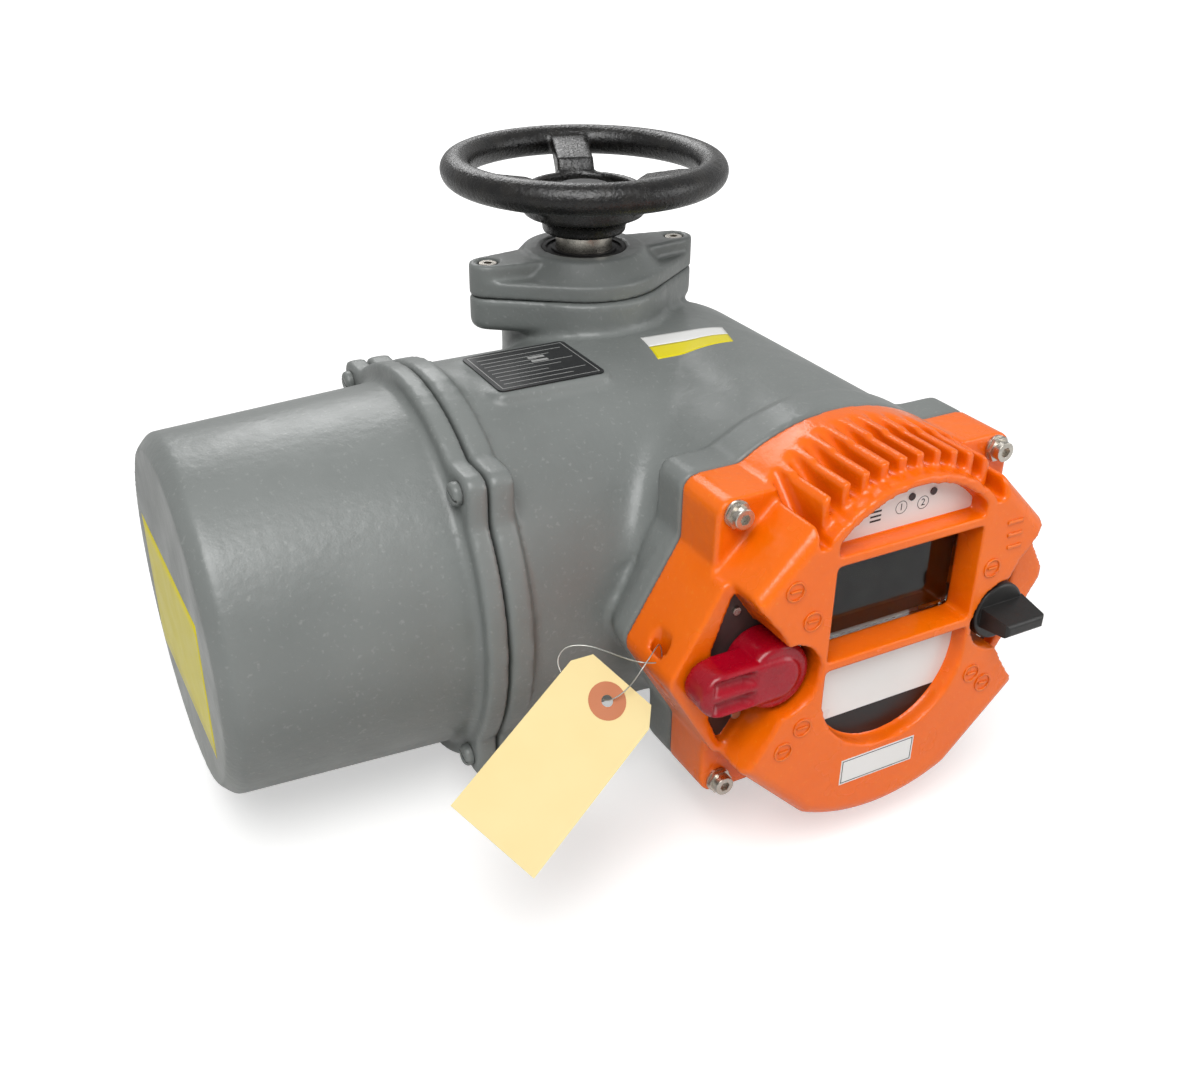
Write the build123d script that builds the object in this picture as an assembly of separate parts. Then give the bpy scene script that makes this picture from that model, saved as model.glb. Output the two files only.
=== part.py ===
from build123d import *
import math
import os

# A multi-turn electric valve actuator, in millimetres.
# The origin is the centre of the mounting face, on the drive axis, and +Z points up to the hand wheel.
# The motor lies towards -X, and the orange control cover faces -Y.

# Worm gear set: every centre distance in the housing comes from it
gear_module = 3.0
wheel_teeth = 40
worm_pitch_r = 19.0
wheel_width = 26.0
worm_length = 66.0
flank_angle = 20.0
mesh_gap = 0.45          # free space on each flank of a tooth
worm_lead = math.pi * gear_module
wheel_pitch_r = gear_module * wheel_teeth / 2
wheel_tip_r = wheel_pitch_r + gear_module
wheel_root_r = wheel_pitch_r - 1.25 * gear_module
worm_tip_r = worm_pitch_r + gear_module
worm_root_r = worm_pitch_r - 1.25 * gear_module
lead_angle = math.degrees(math.atan(worm_lead / (2 * math.pi * worm_pitch_r)))

# Main axes: the drive axis is X = Y = 0
motor_z = 145.0                              # motor and worm axis above the mounting face
motor_y = -(wheel_pitch_r + worm_pitch_r)    # motor and worm axis beside the drive axis
dial_x = 49.5                                # axis of the control end
dial_z = motor_z + 6.0

# Clearances
seat_gap = 0.3           # between curved faces that only sit near each other
run_gap = 0.05           # radial play of a shaft in its bearing
slip_gap = 0.5           # between parts that turn past each other

# Base flange and column
base_r = 62.5
base_thick = 18.0
base_pcd = 102.0
base_bolts = 4
base_thread_r = 4.25     # tapped for M10
base_thread_depth = 16.0
foot_r = 54.0
column_r = 61.0
column_top = 298.0       # joint between the housing and the bearing cap
flange_drop = 25.0       # height of the flange under the bearing cap
sleeve_r = 28.0
sleeve_bore = 19.0

# Bearing cap
cap_ear_x = 76.0
cap_ear_r = 13.5
cap_body_r = 58.0
cap_plate = 12.0
cap_ear_height = 23.0
cap_dome_r = 55.0        # foot of the dome, on the plate
cap_boss_r = 43.0        # its flat top
cap_height = 25.0
cap_screw_r = 4.0

# Hand wheel
wheel_plane = motor_z + 233.75
rim_outer_r = 101.6
rim_section_r = 10.85
spoke_count = 3
spoke_angle = 71.0
spoke_width = 27.0
spoke_thick = 9.0
hub_r = 28.5
hub_bottom = 336.0
hub_neck = 9.0
hub_flare_r = 39.0
hub_top = 372.0
tube_r = 20.5
tube_bore = 14.0

# Motor cover
cover_end_x = -333.0
cover_joint_x = -161.0
cover_flange = 15.0
cover_flange_r = 135.0
cover_barrel_r = 125.0
cover_end_r = 118.5
cover_wall = 9.0
cover_edge = 9.0
motor_lug_y = 112.0
motor_lug_z = 110.0
motor_screw_offset = 97.4
motor_screw_r = 4.0
gasket_thick = 1.0
gasket_band = 35.0       # from the flange's edge to the inner edge of the gasket

# Motor inside the cover
stator_r = 86.0
stator_bore = 50.0
stator_length = 82.0
rib_count = 8
rib_thick = 8.0
air_gap = 0.8
shaft_r = 12.5
winding_length = 18.0

# Housing
branch_r = 131.0
motor_flange = 16.0
motor_flange_r = 137.0
gearcase_r = 79.0
housing_wall = 12.0
motor_bay = 66.0         # depth of the wide bore behind the motor joint
gear_cavity_r = 67.0
gear_cavity_half = 24.0
worm_cavity_r = 28.0
barrel_r = 125.0
barrel_back = 0.0
barrel_edge = 12.0
pad_centre = (-84.0, -88.0)
pad_size = (84.0, 72.0)
pad_top = motor_z + branch_r - 1.0

# Control end: outline shared by the housing flange and the orange cover
cover_joint_y = -240.0
lug_x = 110.0
lug_z = 105.5
ear_reach = 147.5
ear_top = 64.0
rim_r = 127.0
cover_screw_x = 97.8
cover_screw_z = 96.4
cover_screw_r = 4.0
lug_back = 28.0
ear_back = 82.0
cavity_r = 110.0
cavity_depth = 70.0
throat = 25.0            # step from the cavity to the narrower hole behind it
groove_from = 3.0        # seal groove, outside the cavity's edge
groove_width = 5.0
groove_deep = 3.5

# Orange control cover, depths measured forward from its joint
cover_depth = 83.0
lug_depth = 40.0
ear_depth = 55.0
puck_r = 126.0
puck_flat = 120.0
puck_round = 9.0
cover_cavity = 35.0
dial_half = 55.0
dial_low_z = -16.0
dial_arc_r = 75.0
dial_arc_z = 35.0
bar_low = 2.0            # centre heights of the two bars across the dial
bar_high = 74.3
bar_half = 3.0
window_depth = 21.0
crescent_depth = 13.5
plate_depth = 11.5
lip_r = 83.0
lip_z = 33.0
fin_count = 10
fin_pitch = 12.97
fin_thick = 5.6
fin_front = 72.0
fin_drop = 17.0
knob_x = 84.0
pocket_r = 25.5
pocket_floor = 47.0
pocket_tip = (104.0, 54.0)
pocket_bend = (93.0, 38.0)
ear_wall = 7.0
slot_from = 22.0
slot_to = 38.0
slot_width = 7.0

# Selector knobs
spindle_r = 6.0
knob_plate = 1.5
red_hub_r = 22.3
red_reach = 54.0
red_half = 15.5
red_back = 57.0
red_front = 78.5
red_hub_low = 2.5        # the hub's face lies this far behind the lever's
red_groove_z = 6.0
red_groove_width = 6.0
red_groove_length = 31.0
black_hub_r = 19.8
black_front = 80.0
black_bar = (14.0, 36.0, 22.0)

# Display
glass_thick = 10.0
glass_edge = 6.0
label_thick = 0.8

# Terminal compartment on the right
terminal_y = -120.0
terminal_z = 125.0
terminal_r = 60.0
terminal_face_x = 184.0
terminal_lid = 12.0
terminal_bore = 40.0
terminal_deep = 42.0
conduit_r = 15.0
conduit_wall = 7.0
conduit_depth = 20.0
conduit_x = 152.0
conduit_spread = 24.0

# Hand and motor clutch
clutch_z = 226.0         # middle of the clutch ring and its groove, at rest
clutch_r = 38.0
clutch_height = 22.0
clutch_groove = 9.0
clutch_groove_deep = 5.0
crank = 12.0             # throw of the eccentric pin
crank_pin_r = 3.5
clutch_turn = 30.0       # swing of the lever, half below level and half above
lever_shaft_r = 8.0
lever_length = 62.0
lever_lean = 30.0
lever_thick = 8.0
lever_start_y = gearcase_r + 2.0
lever_z = clutch_z + crank * math.sin(math.radians(clutch_turn / 2))


def rod_x(radius, x0, x1, y, z):
    return Pos(x0, y, z) * Rot(0, 90, 0) * Cylinder(radius, x1 - x0, align=(Align.CENTER, Align.CENTER, Align.MIN))


def rod_y(radius, y0, y1, x, z):
    return Pos(x, y0, z) * Rot(-90, 0, 0) * Cylinder(radius, y1 - y0, align=(Align.CENTER, Align.CENTER, Align.MIN))


def rod_z(radius, z0, z1, x=0.0, y=0.0):
    return Pos(x, y, z0) * Cylinder(radius, z1 - z0, align=(Align.CENTER, Align.CENTER, Align.MIN))


def ring_x(outer, inner, x0, x1, y, z):
    return rod_x(outer, x0, x1, y, z) - rod_x(inner, x0, x1, y, z)


def ring_z(outer, inner, z0, z1):
    return rod_z(outer, z0, z1) - rod_z(inner, z0, z1)


def dial_plane(depth):
    """Plane parallel to the control joint, moved forward towards the reader."""
    return Plane(origin=(dial_x, cover_joint_y - depth, dial_z), x_dir=(1, 0, 0), z_dir=(0, -1, 0))


def corners(half_a, half_b):
    return [(sa * half_a, sb * half_b) for sa in (-1, 1) for sb in (-1, 1)]


def socket_screw(radius, length, head_r, head_height, socket_r):
    """Hexagon socket screw with its seat at the origin and its shank along -Z."""
    screw = rod_z(head_r, 0, head_height)
    screw = fillet(screw.faces().sort_by(Axis.Z)[-1].edges(), 0.6)
    screw += rod_z(radius - seat_gap / 2, -length, 0)
    socket = RegularPolygon(socket_r, 6)
    return screw - extrude(Pos(0, 0, head_height - socket_r) * socket, socket_r + 1)


def pan_screw(radius, length, head_r, head_height):
    """Slotted pan head screw with its seat at the origin and its shank along -Z."""
    screw = rod_z(head_r, 0, head_height)
    screw = fillet(screw.faces().sort_by(Axis.Z)[-1].edges(), head_height * 0.55)
    screw += rod_z(radius - seat_gap / 2, -length, 0)
    slot = Box(head_r * 2.2, head_r * 0.3, head_height * 0.8)
    return screw - Pos(0, 0, head_height) * slot


# Outlines of the control end, in the plane of its joint
def lug_outline():
    square = Rectangle(2 * lug_x, 2 * lug_z)
    return fillet(square.vertices(), 11)


def ear_outline(inset=0.0):
    left = ear_reach - inset * 1.16
    points = [(-left, 0), (-lug_x, inset - ear_top), (lug_x, inset - ear_top), (left, 0)]
    points += [(lug_x, ear_top - inset), (-lug_x, ear_top - inset)]
    outline = Polygon(*points, align=None)
    tips = outline.vertices().sort_by(Axis.X)
    return fillet([tips[0], tips[-1]], 12 - inset)


def cover_outline():
    return lug_outline() + ear_outline() + Circle(rim_r)


def cover_screw_places():
    return corners(cover_screw_x, cover_screw_z)


def dial_outline():
    low = Pos(0, dial_low_z) * Circle(dial_half)
    sides = Pos(0, (dial_low_z + lip_r) / 2) * Rectangle(2 * dial_half, lip_r - dial_low_z + 2 * dial_half)
    head = Pos(0, dial_arc_z) * Circle(dial_arc_r)
    upper = sides & (head + Pos(0, dial_low_z) * Rectangle(2 * dial_half, 2 * (dial_arc_z - dial_low_z)))
    return (upper & Pos(0, dial_low_z + 100) * Rectangle(400, 200)) + low


def dial_band(low, high):
    """Part of the dial between two heights."""
    return dial_outline() & (Pos(0, (low + high) / 2) * Rectangle(4 * dial_half, high - low))


def window_band():
    return dial_band(bar_low + bar_half, bar_high - bar_half)


def crescent_band():
    return dial_band(bar_high + bar_half, bar_high + 2 * dial_half)


def plate_band():
    return dial_band(-3 * dial_half, bar_low - bar_half)


def pocket_outline(side):
    """Knob pocket: a round well that opens out between the guard walls of the ear."""
    tip_x, tip_z = pocket_tip
    bend_x, bend_z = pocket_bend
    fan = [(tip_x, tip_z), (bend_x, bend_z), (knob_x, pocket_r - 0.5), (knob_x, 0.5 - pocket_r)]
    fan += [(bend_x, -bend_z), (tip_x, -tip_z), (2 * ear_reach, -tip_z), (2 * ear_reach, tip_z)]
    mouth = Polygon(*[(side * x, side * z) for x, z in fan], align=None) & ear_outline(ear_wall)
    return mouth + Pos(side * knob_x, 0) * Circle(pocket_r)


def main_housing():
    body = rod_x(branch_r, cover_joint_x + motor_flange, dial_x, motor_y, motor_z)
    body += motor_joint_flange(cover_joint_x, motor_flange)
    barrel = rod_y(barrel_r, cover_joint_y, barrel_back, dial_x, dial_z)
    body += fillet(barrel.faces().sort_by(Axis.Y)[-1].edges(), barrel_edge)
    body += control_joint_flange()
    body += column()
    body += rod_z(gearcase_r, motor_z - gear_cavity_half - 12, motor_z + gear_cavity_half + 34)
    body += terminal_block_case()
    pad = fillet(Rectangle(*pad_size).vertices(), 6)
    body += extrude(Pos(pad_centre[0], pad_centre[1], pad_top) * pad, -30)
    body -= extrude(Pos(pad_centre[0], pad_centre[1], pad_top) * pad, 30)
    body += lever_boss()
    return body - housing_hollows()


def motor_joint_flange(joint_x, thick):
    """Round flange with four square corners, from the motor joint towards +X."""
    plane = Plane(origin=(joint_x, motor_y, motor_z), x_dir=(0, 1, 0), z_dir=(1, 0, 0))
    lugs = fillet(Rectangle(2 * motor_lug_y, 2 * motor_lug_z).vertices(), 9)
    return extrude(plane * (lugs + Circle(motor_flange_r)), thick)


def control_joint_flange():
    back = Plane(origin=(dial_x, cover_joint_y, dial_z), x_dir=(-1, 0, 0), z_dir=(0, 1, 0))
    far = Plane(origin=(dial_x, cover_joint_y + ear_back, dial_z), x_dir=(-1, 0, 0), z_dir=(0, 1, 0))
    flange = extrude(back * lug_outline(), lug_back)
    flange += extrude(back * Circle(rim_r), lug_back)
    flange += extrude(back * ear_outline(), lug_back / 2)
    start = Plane(origin=(dial_x, cover_joint_y + lug_back / 2, dial_z), x_dir=(-1, 0, 0), z_dir=(0, 1, 0))
    flange += loft([start * ear_outline(), far * scale(ear_outline(), 0.8)])
    return flange


def cap_outline(body_r):
    ears = make_hull([e for x in (-cap_ear_x, cap_ear_x) for e in (Pos(x, 0) * Circle(cap_ear_r)).edges()])
    sides = make_hull([e for x in (-cap_ear_x, cap_ear_x) for e in (Pos(x, 0) * Circle(cap_ear_r)).edges()]
                      + Circle(body_r).edges())
    return sides + ears


def column():
    body = rod_z(base_r, 0, base_thick)
    body += rod_z(foot_r, base_thick, motor_z)
    body += rod_z(column_r, motor_z, column_top)
    flange = extrude(Pos(0, 0, column_top - flange_drop) * cap_outline(cap_body_r), flange_drop)
    flange = fillet(flange.faces().sort_by(Axis.Z)[0].edges(), 7)
    return body + flange


def terminal_block_case():
    depth = terminal_face_x - dial_x
    plane = Plane(origin=(dial_x, terminal_y, terminal_z), x_dir=(0, 1, 0), z_dir=(1, 0, 0))
    case = extrude(plane * fillet(Rectangle(2 * terminal_r - 8, 2 * terminal_r - 8).vertices(), 22), depth - 12)
    case += extrude(plane * Circle(terminal_r), depth)
    for place in conduit_places():
        case += place * Cylinder(conduit_r + conduit_wall, 40, align=(Align.CENTER, Align.CENTER, Align.MAX))
    return case


def conduit_places():
    """Mouths of the cable entries: their local +Z leads out of the hole."""
    low = terminal_z - terminal_r - 9
    return [Pos(conduit_x, terminal_y + side * conduit_spread, low) * Rot(180, 0, 0) for side in (-1, 1)]


def lever_boss():
    return rod_y(lever_shaft_r + 8, clutch_r, lever_start_y - 1, 0, lever_z)


def housing_hollows():
    """Everything that is bored, cored or tapped in the housing."""
    hollow = rod_z(gear_cavity_r, motor_z - gear_cavity_half, motor_z + gear_cavity_half)
    hollow += rod_z(clutch_r + 5, motor_z, column_top + 1)
    hollow += rod_z(sleeve_r + 12, 24, motor_z)
    hollow += rod_z(sleeve_r + 2, -1, 30)
    hollow += rod_x(worm_cavity_r, cover_joint_x - 1, worm_end_x() + 1, motor_y, motor_z)
    hollow += rod_x(branch_r - housing_wall, cover_joint_x - 1, cover_joint_x + motor_bay, motor_y, motor_z)
    hollow += rod_y(cavity_r, cover_joint_y - 1, cover_joint_y + cavity_depth, dial_x, dial_z)
    hollow += rod_y(cavity_r - throat, cover_joint_y + 60, motor_y - worm_cavity_r - 10, dial_x, dial_z)
    hollow += rear_oil_space()
    hollow += rod_x(terminal_bore, terminal_face_x - terminal_deep, terminal_face_x + 1, terminal_y, terminal_z)
    hollow += rod_y(lever_shaft_r + run_gap, clutch_r - 2, lever_start_y, 0, lever_z)
    hollow += rod_y(crank + crank_pin_r + 1, clutch_r - 2, clutch_r + 9, 0, lever_z)
    groove = Circle(cavity_r + groove_from + groove_width) - Circle(cavity_r + groove_from)
    hollow += extrude(dial_plane(0) * groove, -groove_deep)
    for place in conduit_places():
        hollow += place * Cylinder(conduit_r, 2 * conduit_depth)
    for x, z in cover_screw_places():
        hollow += rod_y(cover_screw_r, cover_joint_y - 1, cover_joint_y + 20, dial_x + x, dial_z + z)
    for y, z in corners(motor_screw_offset, motor_screw_offset):
        hollow += rod_x(motor_screw_r, cover_joint_x - 1, cover_joint_x + motor_flange - 2, motor_y + y, motor_z + z)
    for x in (-cap_ear_x, cap_ear_x):
        hollow += rod_z(cap_screw_r, column_top - 20, column_top + 1, x, 0)
    for place in terminal_screw_places():
        hollow += place * Cylinder(2.5, 30)
    for place in base_bolt_places():
        hollow += place * Cylinder(base_thread_r, 2 * base_thread_depth)
    return hollow


def rear_oil_space():
    """Cored space behind the worm, right of the column."""
    space = rod_y(barrel_r - housing_wall, motor_y + 19, barrel_back - housing_wall, dial_x, dial_z)
    return space & Pos(gear_cavity_r + 10, motor_y + 10, dial_z) * Box(
        200, 200, 400, align=(Align.MIN, Align.CENTER, Align.CENTER))


def base_bolt_places():
    return [Rot(0, 0, 45 + 360 / base_bolts * i) * Pos(base_pcd / 2, 0, 0) for i in range(base_bolts)]


def terminal_screw_places():
    base = Pos(terminal_face_x, terminal_y, terminal_z) * Rot(0, 90, 0)
    return [base * Rot(0, 0, 45 + 90 * i) * Pos(terminal_r - 8, 0, 0) for i in range(4)]


def worm_end_x():
    """Closed end of the worm bore, past the spring pack."""
    return worm_length / 2 + 58


# Motor side
def motor_cover():
    inner_x = cover_end_x + cover_wall
    flange_x = cover_joint_x - cover_flange
    outside = Polyline((cover_end_x, 0), (cover_end_x, cover_end_r - cover_edge),
                       (cover_end_x + cover_edge, cover_end_r), (flange_x, cover_barrel_r),
                       (flange_x, cover_flange_r), (cover_joint_x - gasket_thick, cover_flange_r),
                       (cover_joint_x - gasket_thick, 0), (cover_end_x, 0))
    shell = revolve(make_face(outside), Axis.X)
    rim = shell.edges().filter_by(GeomType.CIRCLE).sort_by(Axis.X)
    shell = fillet([rim[0], rim[1]], cover_edge * 0.62)
    shell = Pos(0, motor_y, motor_z) * shell
    shell += motor_joint_flange(flange_x, cover_flange - gasket_thick)
    hollow = rod_x(cover_end_r - cover_wall, inner_x, cover_joint_x, motor_y, motor_z)
    shell -= hollow
    shell += ring_x(30, rear_bearing_r(), inner_x - 1, inner_x + 14, motor_y, motor_z)
    for i in range(rib_count):
        rib = Rot(360 / rib_count * i, 0, 0) * Pos(0, 0, (stator_r + cover_end_r) / 2 - cover_wall / 2 + 2)
        rib = rib * Box(stator_length + 20, rib_thick, cover_end_r - stator_r - cover_wall + 4)
        shell += Pos(stator_start() + stator_length / 2, motor_y, motor_z) * rib
    shell -= rod_x(stator_r + seat_gap / 2, inner_x + 15, cover_joint_x + 1, motor_y, motor_z)
    for y, z in corners(motor_screw_offset, motor_screw_offset):
        at_y = motor_y + y
        at_z = motor_z + z
        shell -= rod_x(motor_screw_r + seat_gap, flange_x - 1, cover_joint_x, at_y, at_z)
        well = rod_x(12, flange_x - 30, flange_x, at_y, at_z)
        shell -= fillet(well.faces().sort_by(Axis.X)[0].edges(), 11)
    return shell


def rear_bearing_r():
    return shaft_r + 9.5


def motor_cover_gasket():
    plane = Plane(origin=(cover_joint_x, motor_y, motor_z), x_dir=(0, 1, 0), z_dir=(-1, 0, 0))
    ring = Circle(cover_flange_r - 4) - Circle(cover_flange_r - gasket_band)
    return extrude(plane * ring, gasket_thick)


def motor_cover_screws():
    seat = cover_joint_x - cover_flange
    reach = cover_flange + motor_flange - 4
    screw = pan_screw(motor_screw_r, reach, 7.5, 5.5)
    places = corners(motor_screw_offset, motor_screw_offset)
    return [Pos(seat, motor_y + y, motor_z + z) * Rot(0, -90, 0) * Rot(0, 0, 70) * screw for y, z in places]


def stator_start():
    return cover_end_x + cover_wall + winding_length + 20


def motor_stator():
    start = stator_start()
    core = ring_x(stator_r, stator_bore, start, start + stator_length, motor_y, motor_z)
    for i in range(12):
        slot = Rot(i * 30, 0, 0) * Pos(0, 0, stator_bore + 7) * Box(2 * stator_length, 9, 22)
        core -= Pos(start + stator_length / 2, motor_y, motor_z) * slot
    return core


def stator_windings():
    start = stator_start()
    end = start + stator_length
    rings = []
    for x0 in (start - winding_length, end):
        ring = ring_x(stator_r - 6, stator_bore + 3, x0, x0 + winding_length, motor_y, motor_z)
        rings.append(fillet(ring.edges(), 4))
    return rings


def motor_rotor():
    start = stator_start()
    rotor = ring_x(stator_bore - air_gap, shaft_r, start - 4, start + stator_length + 4, motor_y, motor_z)
    return rotor


def shaft_steps():
    """Ends of the motor and worm shaft: rear bearing, worm and far end."""
    return cover_end_x + cover_wall + 2, -worm_length / 2, worm_length / 2, worm_end_x() - 2


def worm_shaft():
    rear, worm_a, worm_b, far = shaft_steps()
    shaft = rod_x(shaft_r, rear, far, motor_y, motor_z)
    shaft += rod_x(worm_root_r + 0.3, worm_a - 3, worm_b + 3, motor_y, motor_z)
    return shaft + worm_thread(worm_a, worm_b)


def worm_thread(start, end):
    """Right-hand thread with straight flanks, swept along a helix, and cut square at both ends."""
    tilt = math.tan(math.radians(flank_angle))
    half_pitch = worm_lead / 4 - mesh_gap / 2
    half_tip = half_pitch - gear_module * tilt
    deep = worm_pitch_r - worm_root_r
    half_root = half_pitch + deep * tilt
    turns_length = end - start
    path = Helix(pitch=worm_lead, height=turns_length, radius=worm_root_r)
    profile = Polygon((0, -half_root), (0, half_root), (worm_tip_r - worm_root_r, half_tip),
                      (worm_tip_r - worm_root_r, -half_tip), align=None)
    plane = Plane(origin=(worm_root_r, 0, 0), x_dir=(1, 0, 0), z_dir=(0, 1, 0))
    thread = sweep(plane * profile, path=path, is_frenet=True)
    quarter = math.degrees(2 * math.pi * (-start) / worm_lead)
    return Pos(start, motor_y, motor_z) * Rot(0, 90, 0) * Rot(0, 0, worm_phase() - quarter) * thread


def worm_phase():
    """Turns the worm so that a thread lies in a space of the wheel at rest."""
    return 90.0


def motor_bearings():
    rear, worm_a, worm_b, far = shaft_steps()
    back = ring_x(rear_bearing_r() - run_gap, shaft_r + run_gap, rear + 1, rear + 12, motor_y, motor_z)
    front = ring_x(worm_cavity_r - run_gap, shaft_r + run_gap, worm_a - 34, worm_a - 18, motor_y, motor_z)
    thrust = ring_x(worm_cavity_r - run_gap, shaft_r + run_gap, worm_b + 8, worm_b + 22, motor_y, motor_z)
    return [back, front, thrust]


def spring_pack():
    """Disc springs that let the worm shift under load and so sense the torque."""
    worm_b = shaft_steps()[2]
    discs = []
    pitch = 4.0
    for i in range(6):
        x = worm_b + 23 + pitch * i
        discs.append(ring_x(worm_cavity_r - 1.0, shaft_r + run_gap * 4, x, x + pitch - 0.2, motor_y, motor_z))
    return discs


# Drive train
def worm_wheel():
    wheel = ring_z(wheel_tip_r, sleeve_r, motor_z - wheel_width / 2, motor_z + wheel_width / 2)
    wheel += ring_z(sleeve_r + 9, sleeve_r, motor_z - wheel_width / 2 - 6, motor_z + wheel_width / 2 + 12)
    tilt = math.tan(math.radians(flank_angle))
    half_pitch = worm_lead / 4 + mesh_gap / 2
    top = gear_module + 1.0
    deep = wheel_pitch_r - wheel_root_r
    space = Polygon((-half_pitch + deep * tilt, 0), (half_pitch - deep * tilt, 0),
                    (half_pitch + top * tilt, deep + top), (-half_pitch - top * tilt, deep + top), align=None)
    plane = Plane(origin=(0, -wheel_root_r, motor_z), x_dir=(1, 0, 0), z_dir=(0, 0, 1))
    bar = extrude(plane * space.mirror(Plane.XZ), wheel_width, both=True)
    turn = Pos(0, 0, motor_z) * Rot(0, lead_angle, 0) * Pos(0, 0, -motor_z)
    cutter = turn * bar
    for i in range(wheel_teeth):
        wheel -= Rot(0, 0, 360 / wheel_teeth * i) * cutter
    for i in range(3):
        dog = Pos(sleeve_r + 4.5, 0, motor_z + wheel_width / 2 + 12) * Box(6, 12, 12)
        wheel -= Rot(0, 0, 120 * i) * dog
    return wheel


def drive_sleeve():
    sleeve = ring_z(sleeve_r, sleeve_bore, 4, clutch_z + clutch_height)
    sleeve += ring_z(sleeve_r + 4, sleeve_r - 1, 31, 37)
    return sleeve


def stem_nut():
    nut = ring_z(sleeve_bore, 16.0, 4, 64)
    return nut


def sleeve_bearings():
    low = ring_z(sleeve_r + 12 - run_gap, sleeve_r + run_gap, 38, 54)
    high = ring_z(clutch_r + 5 - run_gap, sleeve_r + run_gap, 178, 192)
    return [low, high]


def base_seal():
    return ring_z(sleeve_r + 2 - run_gap, sleeve_r + run_gap, 8, 16)


def clutch_ring():
    low = clutch_z - clutch_height / 2
    ring = ring_z(clutch_r, sleeve_r + 1.0, low, low + clutch_height)
    ring -= ring_z(clutch_r + 1, clutch_r - clutch_groove_deep,
                   clutch_z - clutch_groove / 2, clutch_z + clutch_groove / 2)
    return ring


def declutch_shaft():
    """Cross shaft with an eccentric pin that lifts the clutch ring."""
    web_y = clutch_r + 1.5
    pin_x = crank * math.cos(math.radians(clutch_turn / 2))
    shaft = rod_y(lever_shaft_r, web_y, lever_start_y + lever_thick, 0, lever_z)
    pin = rod_y(crank_pin_r, clutch_r - clutch_groove_deep - 0.5 + slip_gap, web_y + 5, pin_x, clutch_z)
    throw = Rot(0, 0, -clutch_turn / 2) * Pos(crank / 2, 0) * SlotCenterToCenter(crank, 2 * crank_pin_r)
    plane = Plane(origin=(0, web_y + 5, lever_z), x_dir=(1, 0, 0), z_dir=(0, -1, 0))
    return shaft + extrude(plane * throw, 5) + pin


def declutch_lever():
    end_y = lever_start_y + lever_thick
    plane = Plane(origin=(0, end_y, lever_z), x_dir=(1, 0, 0), z_dir=(0, -1, 0))
    tip = Pos(lever_lean, -lever_length)
    arm = extrude(plane * make_hull(Circle(12).edges() + (tip * Circle(8)).edges()), lever_thick)
    hub = rod_y(lever_shaft_r + 5, lever_start_y, end_y + 3, 0, lever_z)
    grip = rod_y(8, end_y - 1, end_y + 24, lever_lean, lever_z - lever_length)
    grip = fillet(grip.faces().sort_by(Axis.Y)[-1].edges(), 5)
    return hub + arm + grip - rod_y(lever_shaft_r, lever_start_y - 1, end_y, 0, lever_z)


# Bearing cap
def bearing_cap():
    cap = extrude(Pos(0, 0, column_top) * cap_outline(cap_body_r), cap_plate)
    dome = Polyline((0, column_top), (cap_dome_r, column_top), (cap_dome_r, column_top + cap_plate),
                    (cap_boss_r, column_top + cap_height), (0, column_top + cap_height), (0, column_top))
    cap += revolve(Plane.XZ * make_face(dome), Axis.Z)
    for x in (-cap_ear_x, cap_ear_x):
        web = make_hull((Pos(x, 0) * Circle(cap_ear_r)).edges() + (Pos(x / 3, 0) * Circle(cap_ear_r + 8)).edges())
        ear = extrude(Pos(0, 0, column_top) * web, cap_ear_height)
        cap += fillet(ear.faces().sort_by(Axis.Z)[-1].edges(), 2)
    cap -= rod_z(cap_seat_r(), column_top - 1, column_top + cap_height - 6)
    cap -= rod_z(seal_r(), column_top, column_top + cap_height + 1)
    for x in (-cap_ear_x, cap_ear_x):
        cap -= rod_z(cap_screw_r + seat_gap, column_top - 1, column_top + cap_height, x, 0)
        cap -= rod_z(7.5, column_top + cap_ear_height - 9, column_top + cap_height, x, 0)
    return cap


def cap_seat_r():
    """Bearing seat in the cap."""
    return tube_r + 13.5


def seal_r():
    return tube_r + 10.0


def cap_screws():
    screw = socket_screw(cap_screw_r, cap_ear_height - 9 + 18, 6.5, 8, 3.2)
    return [Pos(x, 0, column_top + cap_ear_height - 9) * screw for x in (-cap_ear_x, cap_ear_x)]


def cap_bearing():
    top = column_top + cap_height - 6
    return ring_z(cap_seat_r() - run_gap, tube_r + run_gap, top - 14, top)


def shaft_seal():
    top = column_top + cap_height
    seal = ring_z(seal_r() - run_gap, tube_r + run_gap, top - 6, top - 1)
    return seal - ring_z(seal_r() - 3, tube_r + 3, top - 2.5, top)


# Hand wheel
def handwheel():
    rim = Pos(0, 0, wheel_plane) * Torus(rim_outer_r - rim_section_r, rim_section_r)
    outline = Polyline((tube_r, hub_bottom), (hub_r, hub_bottom), (hub_r, hub_bottom + hub_neck),
                       (hub_flare_r, hub_bottom + hub_neck + 9), (hub_flare_r + 2, hub_top - 8),
                       (hub_r, hub_top), (tube_r, hub_top), (tube_r, hub_bottom))
    hub = revolve(Plane.XZ * make_face(outline), Axis.Z)
    wheel = rim + hub
    start = hub_r + 4
    end = rim_outer_r - rim_section_r
    low = hub_bottom + hub_neck + 10
    for i in range(spoke_count):
        side = Polygon((start, low), (end, wheel_plane - spoke_thick * 0.7),
                       (end, wheel_plane + spoke_thick * 0.3), (start, low + spoke_thick), align=None)
        spoke = extrude(Plane.XZ * side, spoke_width / 2, both=True)
        wheel += Rot(0, 0, spoke_angle + 360 / spoke_count * i) * spoke
    return wheel - key_slot(0.1)


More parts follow.
